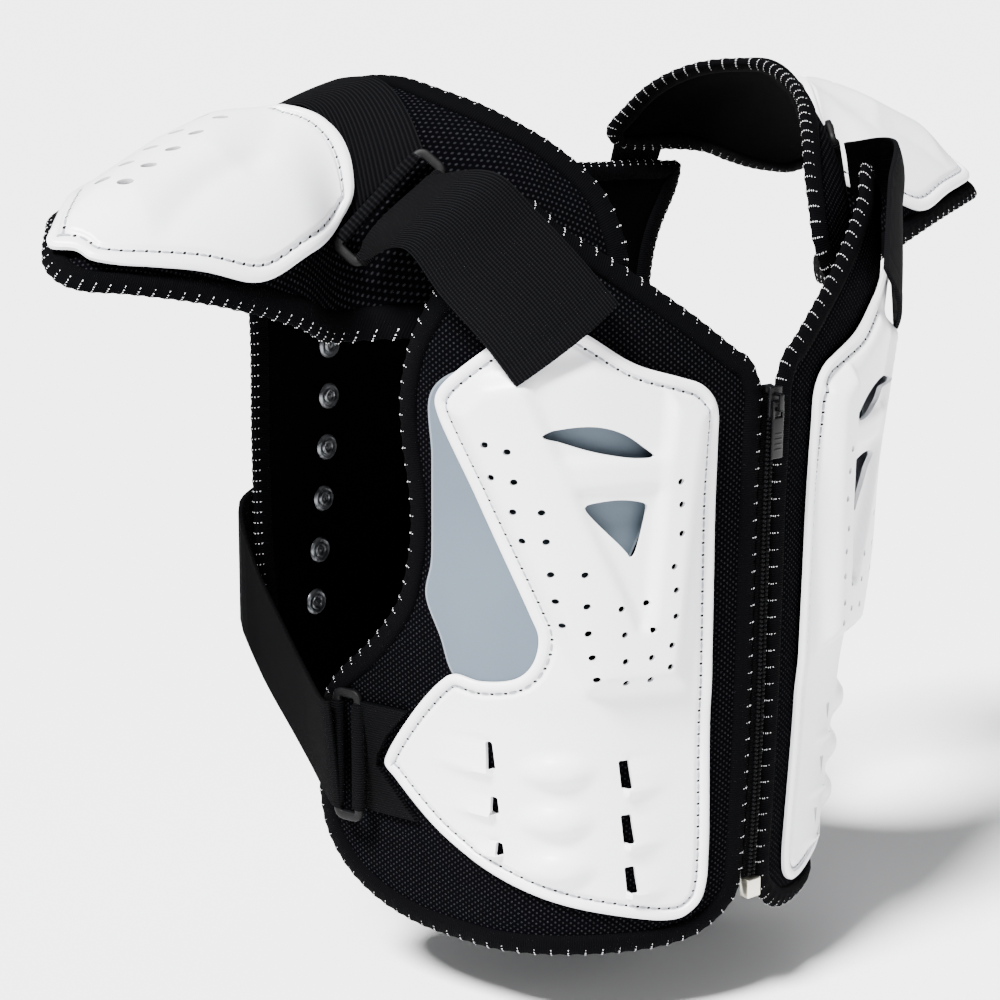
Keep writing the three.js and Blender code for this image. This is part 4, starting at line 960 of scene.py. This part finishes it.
TRIANGLE = [
    [0.402, 0.456], [0.398, 0.4535], [0.34, 0.4495], [0.288, 0.4565], [0.2855, 0.4605], [0.302, 0.51],
    [0.308, 0.516], [0.3165, 0.516], [0.32, 0.512],
]
CAP_VENTS = [
    [0.848, -0.208], [0.803, -0.162], [0.754, -0.117], [0.706, -0.072], [0.654, -0.019],
    [0.862, -0.1], [0.816, -0.055], [0.766, -0.01], [0.713, 0.035], [0.66, 0.085],
]


def oval(a, b, wide, tall, tilt=0.0, sides=16):
    """Points round an oval."""
    t = np.arange(sides) / sides * 2 * math.pi
    x, y = wide / 2 * np.cos(t), tall / 2 * np.sin(t)
    turned_x = a + x * math.cos(tilt) - y * math.sin(tilt)
    turned_y = b + x * math.sin(tilt) + y * math.cos(tilt)
    return np.stack([turned_x, turned_y], -1)


def rounded_box(a, low, high, wide, radius, lean):
    """Points round a tall box with round corners, its top leaning by a share of its height."""
    corners = [(a + i * (wide / 2 - radius), high - radius if j > 0 else low + radius)
               for i, j in ((1, 1), (-1, 1), (-1, -1), (1, -1))]
    points = np.array([
        (x + radius * math.cos(t), y + radius * math.sin(t))
        for k, (x, y) in enumerate(corners)
        for t in np.linspace(k * math.pi / 2, (k + 1) * math.pi / 2, 4)
    ])
    points[:, 0] += lean * (points[:, 1] - (low + high) / 2)
    return points


def rounded(rows):
    """A few dozen even points on the smooth loop through the rows."""
    return smooth_loop(rows, 1.5)[0]


plate_holes = [oval(s * GIRTH, -z * DROP, VENT_BORE, VENT_BORE, sides=14) for s, z in VENTS]
plate_holes += [rounded(on_front(LENS)), rounded(on_front(TRIANGLE))]
plate_holes += [
    rounded_box(s * GIRTH, -bottom * DROP, -top * DROP, wide, 0.9, SLOT_LEAN)
    for (s, top, bottom, _), wide in zip(SLOTS, SLOT_WIDTHS)
]
cap_holes = [oval(a, b, 6.0, 2.8, tilt=0.5) for a, b in on_wing(CAP_VENTS)]

# %% Plates and caps
PLATE_RINGS = [0, 0.35, 0.9, 1.6, 2.4, 3.2, 3.8, 4.3, 4.9, 5.6, 6.2, 6.8, 7.5, 8.4]
CAP_FIELD = [
    [0.93, -0.2], [0.87, 0.02], [0.73, 0.22], [0.62, 0.22], [0.6, 0.02], [0.7, -0.26], [0.85, -0.36],
]
CAP_RISE = 8
CAP_CREASE = [[0.842, -0.494], [0.797, -0.391], [0.745, -0.325], [0.683, -0.287], [0.626, -0.277]]
CREASE_DEPTH = 2.2
CREASE_HALF = 5
shares = np.linspace(0, 1, 25)
cap_crease = (
    np.stack([np.interp(shares, np.linspace(0, 1, 5), side) for side in np.array(on_wing(CAP_CREASE)).T], -1),
    np.sin(math.pi * np.clip(shares, 0.04, 0.96)) ** 0.6,
)


def plate_form(s, z, d):
    """Chest plate: d from 0 inside to SHELL outside, where the rim and groove are."""
    edge, _ = plate_outline.nearest(np.stack([s, z], -1))
    return chest(s, z, d + plate_lift(z) + relief(s, z) + np.where(d > SHELL / 2, rim(edge), 0.0))


def cap_form(x, v, d):
    edge, _ = cap_outline.nearest(np.stack([x, v], -1))
    crest = CAP_RISE * smooth((within(on_wing(CAP_FIELD), x, v) + 14) / 26)
    line, reach = cap_crease
    away = np.linalg.norm(np.stack([x, v], -1)[..., None, :] - line, axis=-1)
    crest = crest - CREASE_DEPTH * np.max(reach * np.exp(-(away / CREASE_HALF) ** 2), -1)
    return wing(x, v, d + 3 * SEAT + LIP + crest + np.where(d > SHELL / 2, rim(edge), 0.0))


def moulding(outline, rings, holes, form, grid=2.0):
    """A moulded sheet, pierced while it is flat, cut along the grid and bent."""
    bm = pattern(outline, rings, 6 * grid)
    slab(bm, SHELL)
    bm = pierced(bm, holes, -1, SHELL + 1)
    cut_grid(bm, grid)
    return placed(bm, form)


def seam(outline, inset, pitch, form, lift):
    """Running stitches in the groove of a plate, and flat dark discs of painted shade for the needle holes
    between them.
    """
    thread, hole_shades = bmesh.new(), bmesh.new()
    count = round(outline.length / pitch)
    for k in range(count):
        u = k * outline.length / count
        here, ahead = outline.at([u, u + 0.5], [inset, inset])
        turn = Matrix.Rotation(math.atan2(*(ahead - here)[::-1]), 4, "Z")
        at = Matrix.Translation((*here, SHELL + 0.1)) @ turn @ Matrix.Diagonal((0.34 * pitch, 0.5, 0.36, 1))
        lying = at @ Matrix.Rotation(math.pi / 2, 4, "Y")
        bmesh.ops.create_uvsphere(thread, u_segments=8, v_segments=6, radius=1, matrix=lying)
        # A flat dark disc between two stitches: painted shade in the needle hole.
        here, = outline.at([u + 0.5 * outline.length / count], [inset])
        at = Matrix.Translation((*here, SHELL + 0.02)) @ Matrix.Diagonal((0.85, 0.6, 0.14, 1))
        bmesh.ops.create_uvsphere(hole_shades, u_segments=10, v_segments=4, radius=1, matrix=at)
    return placed(thread, lift_form(form, lift)), placed(hole_shades, lift_form(form, lift))


def lift_form(form, lift):
    return lambda a, b, d: form(a, b, d + lift)


for outline, name, node, holes, form in (
    (plate_outline, "plate", "chest_plate", plate_holes, plate_form),
    (cap_outline, "cap", "shoulder_cap", cap_holes, cap_form),
):
    add_pair(moulding(outline, PLATE_RINGS, holes, form), f"moulded_{name}", node, "white_shell",
             [white_shell])
    thread, hole_shades = seam(outline, 5.2, 5.2, form, 0.0)
    add_pair(thread, f"seam_{name}", None, "white_shell", [stitch_grey], angle=None)
    add_pair(hole_shades, f"needle_holes_{name}", None, "white_shell", [painted_hole_shade], angle=None)

# %% Vent backing
bm = pattern(backing_outline, [0, 0.25, 0.9], 4.0)
slab(bm, BACKING)
edge, _ = backing_outline.nearest(read(bm)[:, :2])
for face in bm.faces:
    face.material_index = 1 if max(edge[v.index] for v in face.verts) < 1.0 else 0
add_pair(placed(bm, lambda s, z, d: chest(s, z, d + SEAT)), "backing_sheet", "vent_backing", "grey_sheet",
         [foam_grey, foam_edge])
print("plates, caps and backing")

# %% [markdown]
# The back shell is a plain moulding, held by two rows of rivets. A rivet is turned: its section is
# drawn as a line of points and spun round the shank. The inner head has the raised rings and the
# pip that show from the front through the armhole.

# %% Back shell and rivets
RIVET_HEAD = 12
RIVET_PITCH = 23.2
RIVET_DROP = 0.336
rivet_places = [
    ((0.62 + 0.1125 * (1 - math.cos(i / 5 * math.pi / 2))) * BACK_HALF,
     -RIVET_DROP * DROP - i * RIVET_PITCH)
    for i in range(6)
]


def shell_form(s, z, d):
    edge, _ = shell_outline.nearest(np.stack([s, z], -1))
    return spine(s, z, d + SEAT - np.where(d > SHELL / 2, 0.9 * (1 - smooth(edge / 1.6)), 0.0))


add_piece(moulding(shell_outline, [0, 0.4, 1.0, 1.8, 3.0], [
    oval(k * a, z, 4.7, 4.7) for a, z in rivet_places for k in (-1, 1)
], shell_form, 5.0), "moulded_back", ["back_shell"], "white_shell", [white_shell])


def axes_at(place, x, out):
    """Matrix, in metres, of a frame at a place whose Z points out and whose X is nearest to x."""
    x = np.asarray(x, float) / np.linalg.norm(x)
    y = np.cross(out, x)
    y /= np.linalg.norm(y)
    out = np.cross(x, y)
    rows = np.stack([x, y, out, np.asarray(place, float)], 1)
    return Matrix.Scale(MM, 4) @ Matrix([*rows.tolist(), (0, 0, 0, 1)])


def turned(profile, steps=28):
    """A closed solid spun about Z from a section of (radius, height) points."""
    bm = bmesh.new()
    line = [bm.verts.new((r, 0, h)) for r, h in profile]
    edges = [bm.edges.new(pair) for pair in zip(line, line[1:])]
    bmesh.ops.spin(bm, geom=line + edges, cent=(0, 0, 0), axis=(0, 0, 1), angle=2 * math.pi, steps=steps,
                   use_merge=True)
    bmesh.ops.remove_doubles(bm, verts=bm.verts, dist=1e-5)
    bmesh.ops.recalc_face_normals(bm, faces=bm.faces)
    return bm


inner = -PAD - SEAT
outer = SEAT + SHELL + SEAT
RIVET = [  # radius and height, from the pip of the inner head to the middle of the outer one
    (0, inner - 1.5), (0.9, inner - 1.4), (1.2, inner - 0.8), (2.1, inner - 0.7), (2.5, inner - 1.5),
    (3.1, inner - 1.6), (3.5, inner - 0.9), (4.3, inner - 0.9), (4.9, inner - 1.3), (5.6, inner - 0.9),
    (6.0, inner), (2, inner), (2, outer), (4.8, outer), (4.6, outer + 0.5), (3.2, outer + 1.1),
    (0, outer + 1.4),
]
for i, (a, z) in enumerate(rivet_places):
    for side, k in (("left", 1), ("right", -1)):
        at = spine(k * a, z)
        outward = spine(k * a, z, 1.0) - at
        bm = turned(RIVET)
        bmesh.ops.transform(bm, matrix=axes_at(at, (1, 0, 0) - outward * outward[0], outward), verts=bm.verts)
        add_piece(bm, f"turned_rivet_{side}_{i + 1}", [f"rivet_{side}_{i + 1}"], "gunmetal", [gunmetal])
print("back shell and", 2 * len(rivet_places), "rivets")

# %% [markdown]
# Straps are flat tape with soft edges. A strap starts as a straight strip with rounded corners and
# is laid through a few stations, each a line across its width on the chest, on a wing or on the
# back. Between stations it bends as a smooth curve, which is what stiff webbing does.

# %% Straps
def strip(length, width, thick, step, round_off=0.6):
    """A flat strap with rounded edges: x along it, y across it from 0, z up from 0."""
    bm = bmesh.new()
    bmesh.ops.create_grid(
        bm, x_segments=max(2, round(length / step)), y_segments=max(2, round(width / 3)), size=0.5,
        matrix=Matrix.Diagonal((length, width, 1, 1)) @ Matrix.Translation((0.5, 0.5, 0)),
    )
    slab(bm, thick)
    corners = [e for e in bm.edges if len(e.link_faces) == 2 and e.calc_face_angle(0) > 1]
    bmesh.ops.bevel(bm, geom=corners, offset=round_off, segments=2, profile=0.5, affect="EDGES", material=-1)
    return bm


def through(stations, length, width, thick):
    """Form of a strap laid through stations of (form, one edge, other edge, lift, lift of the other)."""
    def form(a, b, d):
        w = np.linspace(0, 1, 9)
        rows = []
        for place, one, other, lift, lift_other in stations:
            s, z, low = lerp(one[0], other[0], w), lerp(one[1], other[1], w), lerp(lift, lift_other, w)
            rows.append(np.stack([place(s, z, low), place(s, z, low + thick)]))
        rows = np.array(rows)
        steps = np.linalg.norm(np.diff(rows[:, 0, 4], axis=0), axis=1)
        at = np.concatenate([[0], np.cumsum(steps)])
        table = np.concatenate([at[:, None] / at[-1], rows.reshape(len(at), -1)], 1)
        fine = blend(table, np.clip(a / length, 0, 1)).T.reshape(len(a), 2, 9, 3)
        k = np.clip(b / width, 0, 1) * 8
        i = np.minimum(k.astype(int), 7)
        t = (k - i)[:, None]
        row = np.arange(len(a))
        low, high = (lerp(fine[row, side, i], fine[row, side, i + 1], t) for side in (0, 1))
        return low + (high - low) * (d / thick)[:, None]
    return form


RING_BAR = 4
RING_SLOT = 8
RING_THICK = 3
RING_LIFT = 4.6
RING_TILT = 2.7
BAND = 0.9
BAND_OUT = [0.428, 0.53]
BAND_DRIFT = 0.07
BAND_REAR = 0.985
BAND_LAPS = [0.155, 0.23]
BAND_FORE = [-0.46, -0.66]
RING_TURN = 0.065
CLEAR_LIFT = RING_LIFT + RING_THICK + 3.2 * SEAT
STRAP_ROWS = [  # girth and drop of the inner edge, of the outer edge, lift
    [0.535, 0.091, 0.7, 0.172, 1.15], [0.48, 0.133, 0.655, 0.222, 0.8],
    [0.42, 0.182, 0.59, 0.27, 0.78], [0.362, 0.231, 0.53, 0.3185, 0.955],
]


def arch_at(k, t):
    """Flat place on a wing of the band's inner (0) or outer (1) edge at a share of the arch."""
    x = (BAND_OUT[k] - BAND_DRIFT * float(smooth(t / BAND_REAR))) * SPAN
    *_, fore_long, rear_long = arches(np.array(x))
    return [x, t * float(fore_long if t < 0 else rear_long)]


# %% Shoulder band and strap
lift = LIP + SEAT
shares = np.linspace(0, 1, 11)
band_stations = [
    (wing, *(arch_at(k, lerp(BAND_FORE[k], BAND_REAR, t)) for k in (0, 1)), lift, lift)
    for t in shares
]
band_stations += [
    (spine, [arch_at(0, BAND_REAR)[0], -z * DROP], [arch_at(1, BAND_REAR)[0], -z * DROP], lift, lift)
    for z in BAND_LAPS
]
BAND_SIZE = (290, 45)
bm = strip(*BAND_SIZE, BAND, 3.0, 0.3)
add_pair(placed(bm, through(band_stations, *BAND_SIZE, BAND)), "knitted_band", "shoulder_band", "webbing",
         [rib_mesh])

strap_stations = [
    (wing, *(arch_at(k, BAND_FORE[k] - 0.1) for k in (0, 1)), CLEAR_LIFT, CLEAR_LIFT + 2 * RING_TILT),
]
strap_stations += [
    (chest, [s0 * GIRTH, -z0 * DROP], [s1 * GIRTH, -z1 * DROP], k * CLEAR_LIFT, k * CLEAR_LIFT)
    for s0, z0, s1, z1, k in STRAP_ROWS
]
STRAP_SIZE = (78, WEB)
bm = strip(*STRAP_SIZE, STRAP, 1.5)
for face in bm.faces:
    face.material_index = 1 if face.calc_center_median().x < 17 else 0
strap_form = through(strap_stations, *STRAP_SIZE, STRAP)


def hemmed(a, b, d):
    """The strap's end is folded under and sewn: a step up at the fold, a dent along the seam."""
    top = d > STRAP / 2
    end = STRAP_SIZE[0] - a
    seam_dent = -0.35 * np.exp(-((end - 6) / 0.8) ** 2)
    swell = 0.25 * smooth((7 - end) / 2) + 0.15 * np.sin(a / 9) * smooth(end / 10)
    return strap_form(a, b, d + np.where(top, seam_dent + swell, 0.0))


add_pair(placed(bm, hemmed), "woven_shoulder_strap", "shoulder_strap", "webbing", [webbing, twill])

# %% Side tab
TAB_EDGE = [
    [0.87, 0.722], [0.755, 0.722], [0.806, 0.758], [0.83, 0.786], [0.832, 0.8], [0.805, 0.816],
    [0.755, 0.846], [0.728, 0.86], [0.87, 0.86],
]
bm = sheet_of(on_front(TAB_EDGE))
slab(bm, STRAP)
cut_grid(bm, 3.0)
add_pair(placed(bm, lambda s, z, d: chest(s, z, d + SEAT)), "woven_side_tab", "side_tab", "webbing",
         [plain_web])

# %% Side strap
SIDE_RING = (0.893 * GIRTH, -0.791 * DROP)
SIDE_LIFT = SEAT + STRAP + 3.5 * GAP
SIDE_ROWS = [  # share of the way, bulge as a share of the strap's width, drop, lean
    [0.25, -0.015, 0.753, 0.024], [0.45, 0, 0.715, 0.02], [0.77, 0.034, 0.65, 0.01], [0.93, 0.056, 0.6, 0],
]
STRAP_LAPS = [[1.025, 0.577], [0.965, 0.565], [0.885, 0.56]]
bars = [
    chest(SIDE_RING[0] + RING_SLOT / 2 + reach, SIDE_RING[1], SIDE_LIFT + RING_THICK + 4 * GAP)
    for reach in (0, RING_BAR)
]
laps = [spine(a * BACK_HALF, -z * DROP, LIP + 2 * SEAT) for a, z in STRAP_LAPS]
way = (laps[0] - bars[1])[:2]
out = np.array([way[1], -way[0]]) / np.linalg.norm(way)
side_path = [[*p, SIDE_ROWS[0][3] * BACK_HALF] for p in bars]
side_path += [
    [*(bars[1][:2] + way * t + out * bulge * WEB), -z * DROP, lean * BACK_HALF]
    for t, bulge, z, lean in SIDE_ROWS
]
side_path += [[*p, 0] for p in laps]
side_path = np.array(side_path)
side_steps = np.linalg.norm(np.diff(side_path[:, :2], axis=0), axis=1)
side_table = np.column_stack([np.concatenate([[0], np.cumsum(side_steps)]), side_path])
side_long = side_table[-1, 0]


def along_side(a, b, d):
    """Form of the side strap, which stands nearly upright on a path seen from above."""
    x, y, z, tip = blend(side_table, a)
    ahead, behind = blend(side_table, a + 0.5), blend(side_table, a - 0.5)
    along = np.stack([ahead[0] - behind[0], ahead[1] - behind[1]], -1)
    along /= np.linalg.norm(along, axis=1, keepdims=True)
    w = 2 * b / WEB - 1
    return np.stack([x + along[:, 1] * d + tip * w, y - along[:, 0] * d, z + WEB / 2 * w], -1)


bm = strip(side_long, WEB, STRAP, 2.5)
add_pair(placed(bm, along_side), "woven_side_strap", "side_strap", "webbing", [plain_web])
print("straps; the side strap is", round(side_long), "mm long")

# %% [markdown]
# The rings are moulded nylon with softly rounded bars. One grid makes a ring: round the centre line
# of a rounded rectangle one way, round the bar's section the other.

# %% Rings
def ring_line(at, w, h, corner):
    """Points and outward directions at distances round a rounded rectangle of half sizes w and h."""
    centre, normal = np.zeros((len(at), 2)), np.zeros((len(at), 2))
    start = 0.0
    for k in range(4):
        axis = np.array([math.cos(k * math.pi / 2), math.sin(k * math.pi / 2)])
        side = np.array([axis[1], -axis[0]])
        long, off = (2 * (w - corner), h) if k % 2 == 0 else (2 * (h - corner), w)
        here = (at >= start - 1e-9) & (at <= start + long)
        centre[here] = side * off + axis * ((at[here] - start) - long / 2)[:, None]
        normal[here] = side
        start += long
        here = (at > start) & (at <= start + math.pi / 2 * corner + 1e-9)
        t = ((at[here] - start) / corner)[:, None]
        normal[here] = side * np.cos(t) + axis * np.sin(t)
        centre[here] = side * (off - corner) + axis * (long / 2) + normal[here] * corner
        start += math.pi / 2 * corner
    return centre, normal


def strap_ring(inside, across, corner=2.8):
    """Rounded rectangular ring in XY, its slot along X, its bars of an even rounded section."""
    bm = tube(180, 16)
    grid = read(bm)
    w, h = (inside + RING_BAR) / 2, (across + RING_BAR) / 2
    total = 4 * (w + h - 2 * corner) + 2 * math.pi * corner
    centre, normal = ring_line(grid[:, 0] * total, w, h, corner)
    c, s = np.cos(2 * math.pi * grid[:, 1]), np.sin(2 * math.pi * grid[:, 1])
    reach = np.sign(c) * np.abs(c) ** 0.55 * RING_BAR / 2
    up = RING_THICK / 2 * (1 + np.sign(s) * np.abs(s) ** 0.55)
    write(bm, np.column_stack([centre + normal * reach[:, None], up]))
    return closed_tube(bm)


ends = [wing(*arch_at(k, BAND_FORE[k] - RING_TURN), RING_LIFT + k * RING_TILT) for k in (0, 1)]
middle = [(arch_at(0, BAND_FORE[0])[i] + arch_at(1, BAND_FORE[1])[i]) / 2 for i in (0, 1)]
outward = wing(*middle, 1.0) - wing(*middle, 0.0)
bm = strap_ring(np.linalg.norm(ends[1] - ends[0]) + 2, RING_SLOT)
bmesh.ops.transform(bm, matrix=axes_at((ends[0] + ends[1]) / 2, ends[1] - ends[0], outward), verts=bm.verts)
shoulder_axes = axes_at((ends[0] + ends[1]) / 2, ends[1] - ends[0], outward)
add_pair(bm, "moulded_shoulder_ring", "shoulder_ring", "black_plastic", [ring_black])

at = chest(*SIDE_RING, SIDE_LIFT)
outward = chest(*SIDE_RING, SIDE_LIFT + 1) - at
bm = strap_ring(WEB + 2, RING_SLOT)
upright = np.array([0.0, 0.0, 1.0]) - outward * outward[2]
bmesh.ops.transform(bm, matrix=axes_at(at, upright, outward), verts=bm.verts)
side_axes = axes_at(at, upright, outward)
add_pair(bm, "moulded_side_ring", "side_ring", "black_plastic", [ring_black])
print("rings")


# %% Folds round the bars
def fold(long, side, thick, axes):
    """The turn of a strap round one bar of a ring, as a flat tube along the bar."""
    bm = tube(round(long / 1.5), 18)
    grid = read(bm)
    c, s = np.cos(2 * math.pi * grid[:, 1]), np.sin(2 * math.pi * grid[:, 1])
    ends_in = smooth(np.minimum(grid[:, 0], 1 - grid[:, 0]) * long / 0.8)
    wide = (RING_BAR / 2 + thick) * (0.6 + 0.4 * ends_in)
    tall = (RING_THICK / 2 + thick) * (0.6 + 0.4 * ends_in)
    y = side * (RING_SLOT + RING_BAR) / 2 + np.sign(c) * np.abs(c) ** 0.7 * wide
    z = RING_THICK / 2 + np.sign(s) * np.abs(s) ** 0.7 * tall
    layer = bm.loops.layers.uv.new("flat")
    wrap = {vert: (round_it * 18 * MM, along * long * MM)
            for vert, (along, round_it, _) in zip(bm.verts, grid)}
    for face in bm.faces:
        for loop in face.loops:
            loop[layer].uv = wrap[loop.vert]
    write(bm, np.stack([(grid[:, 0] - 0.5) * long, y, z], -1))
    closed_tube(bm)
    bmesh.ops.transform(bm, matrix=axes, verts=bm.verts)
    return bm


add_pair(fold(46, 1, 0.8, shoulder_axes), "band_fold", None, "webbing", [rib_mesh])
add_pair(fold(49, -1, 1.1, shoulder_axes), "strap_fold", None, "webbing", [twill])
add_pair(fold(49, 1, 1.1, side_axes), "tab_fold", None, "webbing", [plain_web])
add_pair(fold(49, -1, 1.1, side_axes), "side_strap_fold", None, "webbing", [plain_web])

# %% [markdown]
# The zip is a nylon coil zip. Each coil is one filament wound round and round, so from the front it
# reads as a row of small slanted beads. They sit on the edge of a plain tape. The slider and its
# pull are cast, so their blocks get small bevels, and the end box is a pressed nickel-plated clip.

# %% Zip tapes and coils
ZIP_TOP = 127
ZIP_BOTTOM = 353
COIL = 2.1
COIL_THICK = 1.8
COIL_PITCH = 1.9
TAPE_THICK = 1
TAPE_CLEAR = 0.9
SLIT = 0.2
WEDGE_TALL = 3.4
BOX_TALL = 8.5
SLIDER_LONG = 13
SLIDER_PLATE = 1.6
coil_top = ZIP_TOP + WEDGE_TALL + GAP
coil_bottom = ZIP_BOTTOM - BOX_TALL - GAP
TAPE_LOW = -COIL_THICK - GAP - TAPE_THICK


def down_zip(a, b, d):
    """Form of the zip: a across from the middle, b down from the coil's top, d towards the front."""
    z = -(coil_top + b)
    line = chest(np.zeros(np.shape(a)), z, 0)
    return line + np.stack([a, -d, np.zeros(np.shape(a))], -1)


tape_wide = ZIP_GAP - TAPE_CLEAR - SLIT
bm = strip(tape_wide, coil_bottom - coil_top, TAPE_THICK, 2, 0.2)
bmesh.ops.translate(bm, verts=bm.verts, vec=(SLIT, 0, TAPE_LOW))
add_pair(placed(bm, down_zip), "woven_zip_tape", "zip_tape", "zip_tape", [plain_web])

bm = bmesh.new()
for k in range(int((coil_bottom - coil_top) / COIL_PITCH)):
    bead = Matrix.Translation((SLIT + COIL / 2, (k + 0.5) * COIL_PITCH, -COIL_THICK / 2))
    bead = bead @ Matrix.Rotation(0.3, 4, "Z")
    bead = bead @ Matrix.Diagonal((COIL / 2, 0.44 * COIL_PITCH, COIL_THICK / 2, 1))
    bmesh.ops.create_uvsphere(bm, u_segments=8, v_segments=6, radius=1, matrix=bead)
add_pair(placed(bm, down_zip), "wound_zip_coil", "zip_coil", "zip_black", [coil_nylon])


# %% Slider, pull and end box
def block(bm, x, y, z, wide, deep, tall, bevel=0.35):
    """Adds a box with bevelled edges, centred at x, y, z."""
    at = Matrix.Translation((x, y, z)) @ Matrix.Diagonal((wide, deep, tall, 1))
    made = bmesh.ops.create_cube(bm, size=1, matrix=at)
    edges = list({e for v in made["verts"] for e in v.link_edges})
    bmesh.ops.bevel(bm, geom=edges, offset=bevel, segments=3, profile=0.5, affect="EDGES", material=-1)


slider_wide = 2 * (ZIP_GAP - TAPE_CLEAR - GAP)
plate_front = -GAP
back_face = -TAPE_LOW + GAP
face_y = plate_front - SLIDER_PLATE
PULL_THICK = 1.4
PULL_WIDE = 6.8
PULL_LONG = 24
bridge_hole = PULL_THICK + 0.8
BRIDGE_BAR = 1.2
BRIDGE_LONG = 5.2
bm = bmesh.new()
block(bm, 0, plate_front - SLIDER_PLATE / 2, 0, slider_wide, SLIDER_PLATE, SLIDER_LONG, 0.6)
block(bm, 0, back_face + SLIDER_PLATE / 2, 0, slider_wide, SLIDER_PLATE, SLIDER_LONG, 0.6)
block(bm, 0, (face_y + back_face + SLIDER_PLATE) / 2, (SLIDER_LONG - WEDGE_TALL) / 2,
      2 * COIL, back_face + SLIDER_PLATE - face_y, WEDGE_TALL, 0.5)
for k in (-1, 1):
    block(bm, 0, face_y - (bridge_hole + BRIDGE_BAR) / 2, k * (BRIDGE_LONG + BRIDGE_BAR) / 2,
          2.4, bridge_hole + BRIDGE_BAR, BRIDGE_BAR)
block(bm, 0, face_y - bridge_hole - BRIDGE_BAR / 2, 0, 2.4, BRIDGE_BAR, BRIDGE_LONG + 2 * BRIDGE_BAR)
middle = -ZIP_TOP - SLIDER_LONG / 2
line = chest(0, middle + 5) - chest(0, middle - 5)
slider_turn = Matrix.Rotation(math.atan2(-line[1], line[2]), 4, "X")
slider_place = Matrix.Translation(chest(0, middle) * MM) @ slider_turn
bmesh.ops.transform(bm, matrix=slider_place @ Matrix.Scale(MM, 4), verts=bm.verts)
add_piece(bm, "cast_slider", ["zip_slider"], "zip_black", [lacquer], angle=30)

bm = bmesh.new()
ARM_WIDE = 1.1
ARM_LONG = 6.4
bmesh.ops.create_cone(bm, cap_ends=True, segments=20, radius1=PULL_THICK / 2, radius2=PULL_THICK / 2,
                      depth=PULL_WIDE - 0.4, matrix=Matrix.Rotation(math.pi / 2, 4, "Y"))
for k in (-1, 1):
    block(bm, k * (PULL_WIDE - ARM_WIDE) / 2, 0, -ARM_LONG / 2, ARM_WIDE, PULL_THICK, ARM_LONG + 1)
block(bm, 0, 0, -(ARM_LONG + PULL_LONG) / 2, PULL_WIDE, PULL_THICK, PULL_LONG - ARM_LONG, 0.55)
for k in range(4):
    block(bm, 0, -0.05, -ARM_LONG - 7 - 2.2 * k, PULL_WIDE - 2, PULL_THICK + 0.35, 1.0, 0.3)
hinge = Matrix.Translation((0, (face_y - bridge_hole / 2) * MM, 0))
bmesh.ops.transform(bm, matrix=slider_place @ hinge @ Matrix.Scale(MM, 4), verts=bm.verts)
add_piece(bm, "cast_pull", ["zip_pull"], "zip_black", [lacquer], body="pull", angle=30)

bm = bmesh.new()
deep = GAP - TAPE_LOW + SLIDER_PLATE
block(bm, 0, (-GAP - TAPE_LOW) / 2 - GAP, -BOX_TALL / 2, 2 * ZIP_GAP - 2, deep, BOX_TALL, 0.5)
bmesh.ops.transform(bm, matrix=Matrix.Translation(chest(0, BOX_TALL - ZIP_BOTTOM) * MM) @ Matrix.Scale(MM, 4),
                    verts=bm.verts)
add_piece(bm, "pressed_end_box", ["zip_box"], "nickel", [nickel], angle=30)
print("zip")

# %% [markdown]
# A white room: a pale floor that fills the view and even light from the whole sky. A large soft
# light overhead shades the forms from above, and a softer one from the left of the camera shows the
# relief of the plates, as in the photograph.

# %% Floor and light
FLOOR_DROP = 0.405
floor_bm = bmesh.new()
bmesh.ops.create_grid(floor_bm, x_segments=1, y_segments=1, size=40,
                      matrix=Matrix.Translation((0, 0, -FLOOR_DROP)))
floor_mesh = bpy.data.meshes.new("floor")
floor_bm.to_mesh(floor_mesh)
floor_bm.free()
floor = bpy.data.objects.new("floor", floor_mesh)
bpy.context.scene.collection.objects.link(floor)
paper, tree, shading = new_material("paper_backdrop_pale", "#F6F6F6", 0.9, Specular_IOR_Level=0.1)
floor_mesh.materials.append(paper)

world = bpy.data.worlds.new("studio")
bpy.context.scene.world = world
world.use_nodes = True
background = world.node_tree.nodes["Background"]
background.inputs[0].default_value = (0.97, 0.98, 1, 1)
background.inputs[1].default_value = 0.35


def area_light(name, place, aim, size, power):
    light = bpy.data.lights.new(name, "AREA")
    light.shape = "RECTANGLE"
    light.size, light.size_y = size
    light.energy = power
    lamp = bpy.data.objects.new(name, light)
    lamp.location = place
    lamp.rotation_mode = "QUATERNION"
    lamp.rotation_quaternion = (Vector(aim) - Vector(place)).to_track_quat("-Z", "Y")
    bpy.context.scene.collection.objects.link(lamp)


sun = bpy.data.objects.new("softbox sky", bpy.data.lights.new("softbox sky", "SUN"))
sun.data.energy = 19
sun.data.angle = math.radians(16)
sun.rotation_mode = "QUATERNION"
sun.rotation_quaternion = Vector((0.6, 0.12, -0.79)).to_track_quat("-Z", "Y")
bpy.context.scene.collection.objects.link(sun)
area_light("fill", (-0.6, -2.0, 0.6), (0, 0, -0.15), (1.0, 0.8), 8)
print("floor and light")
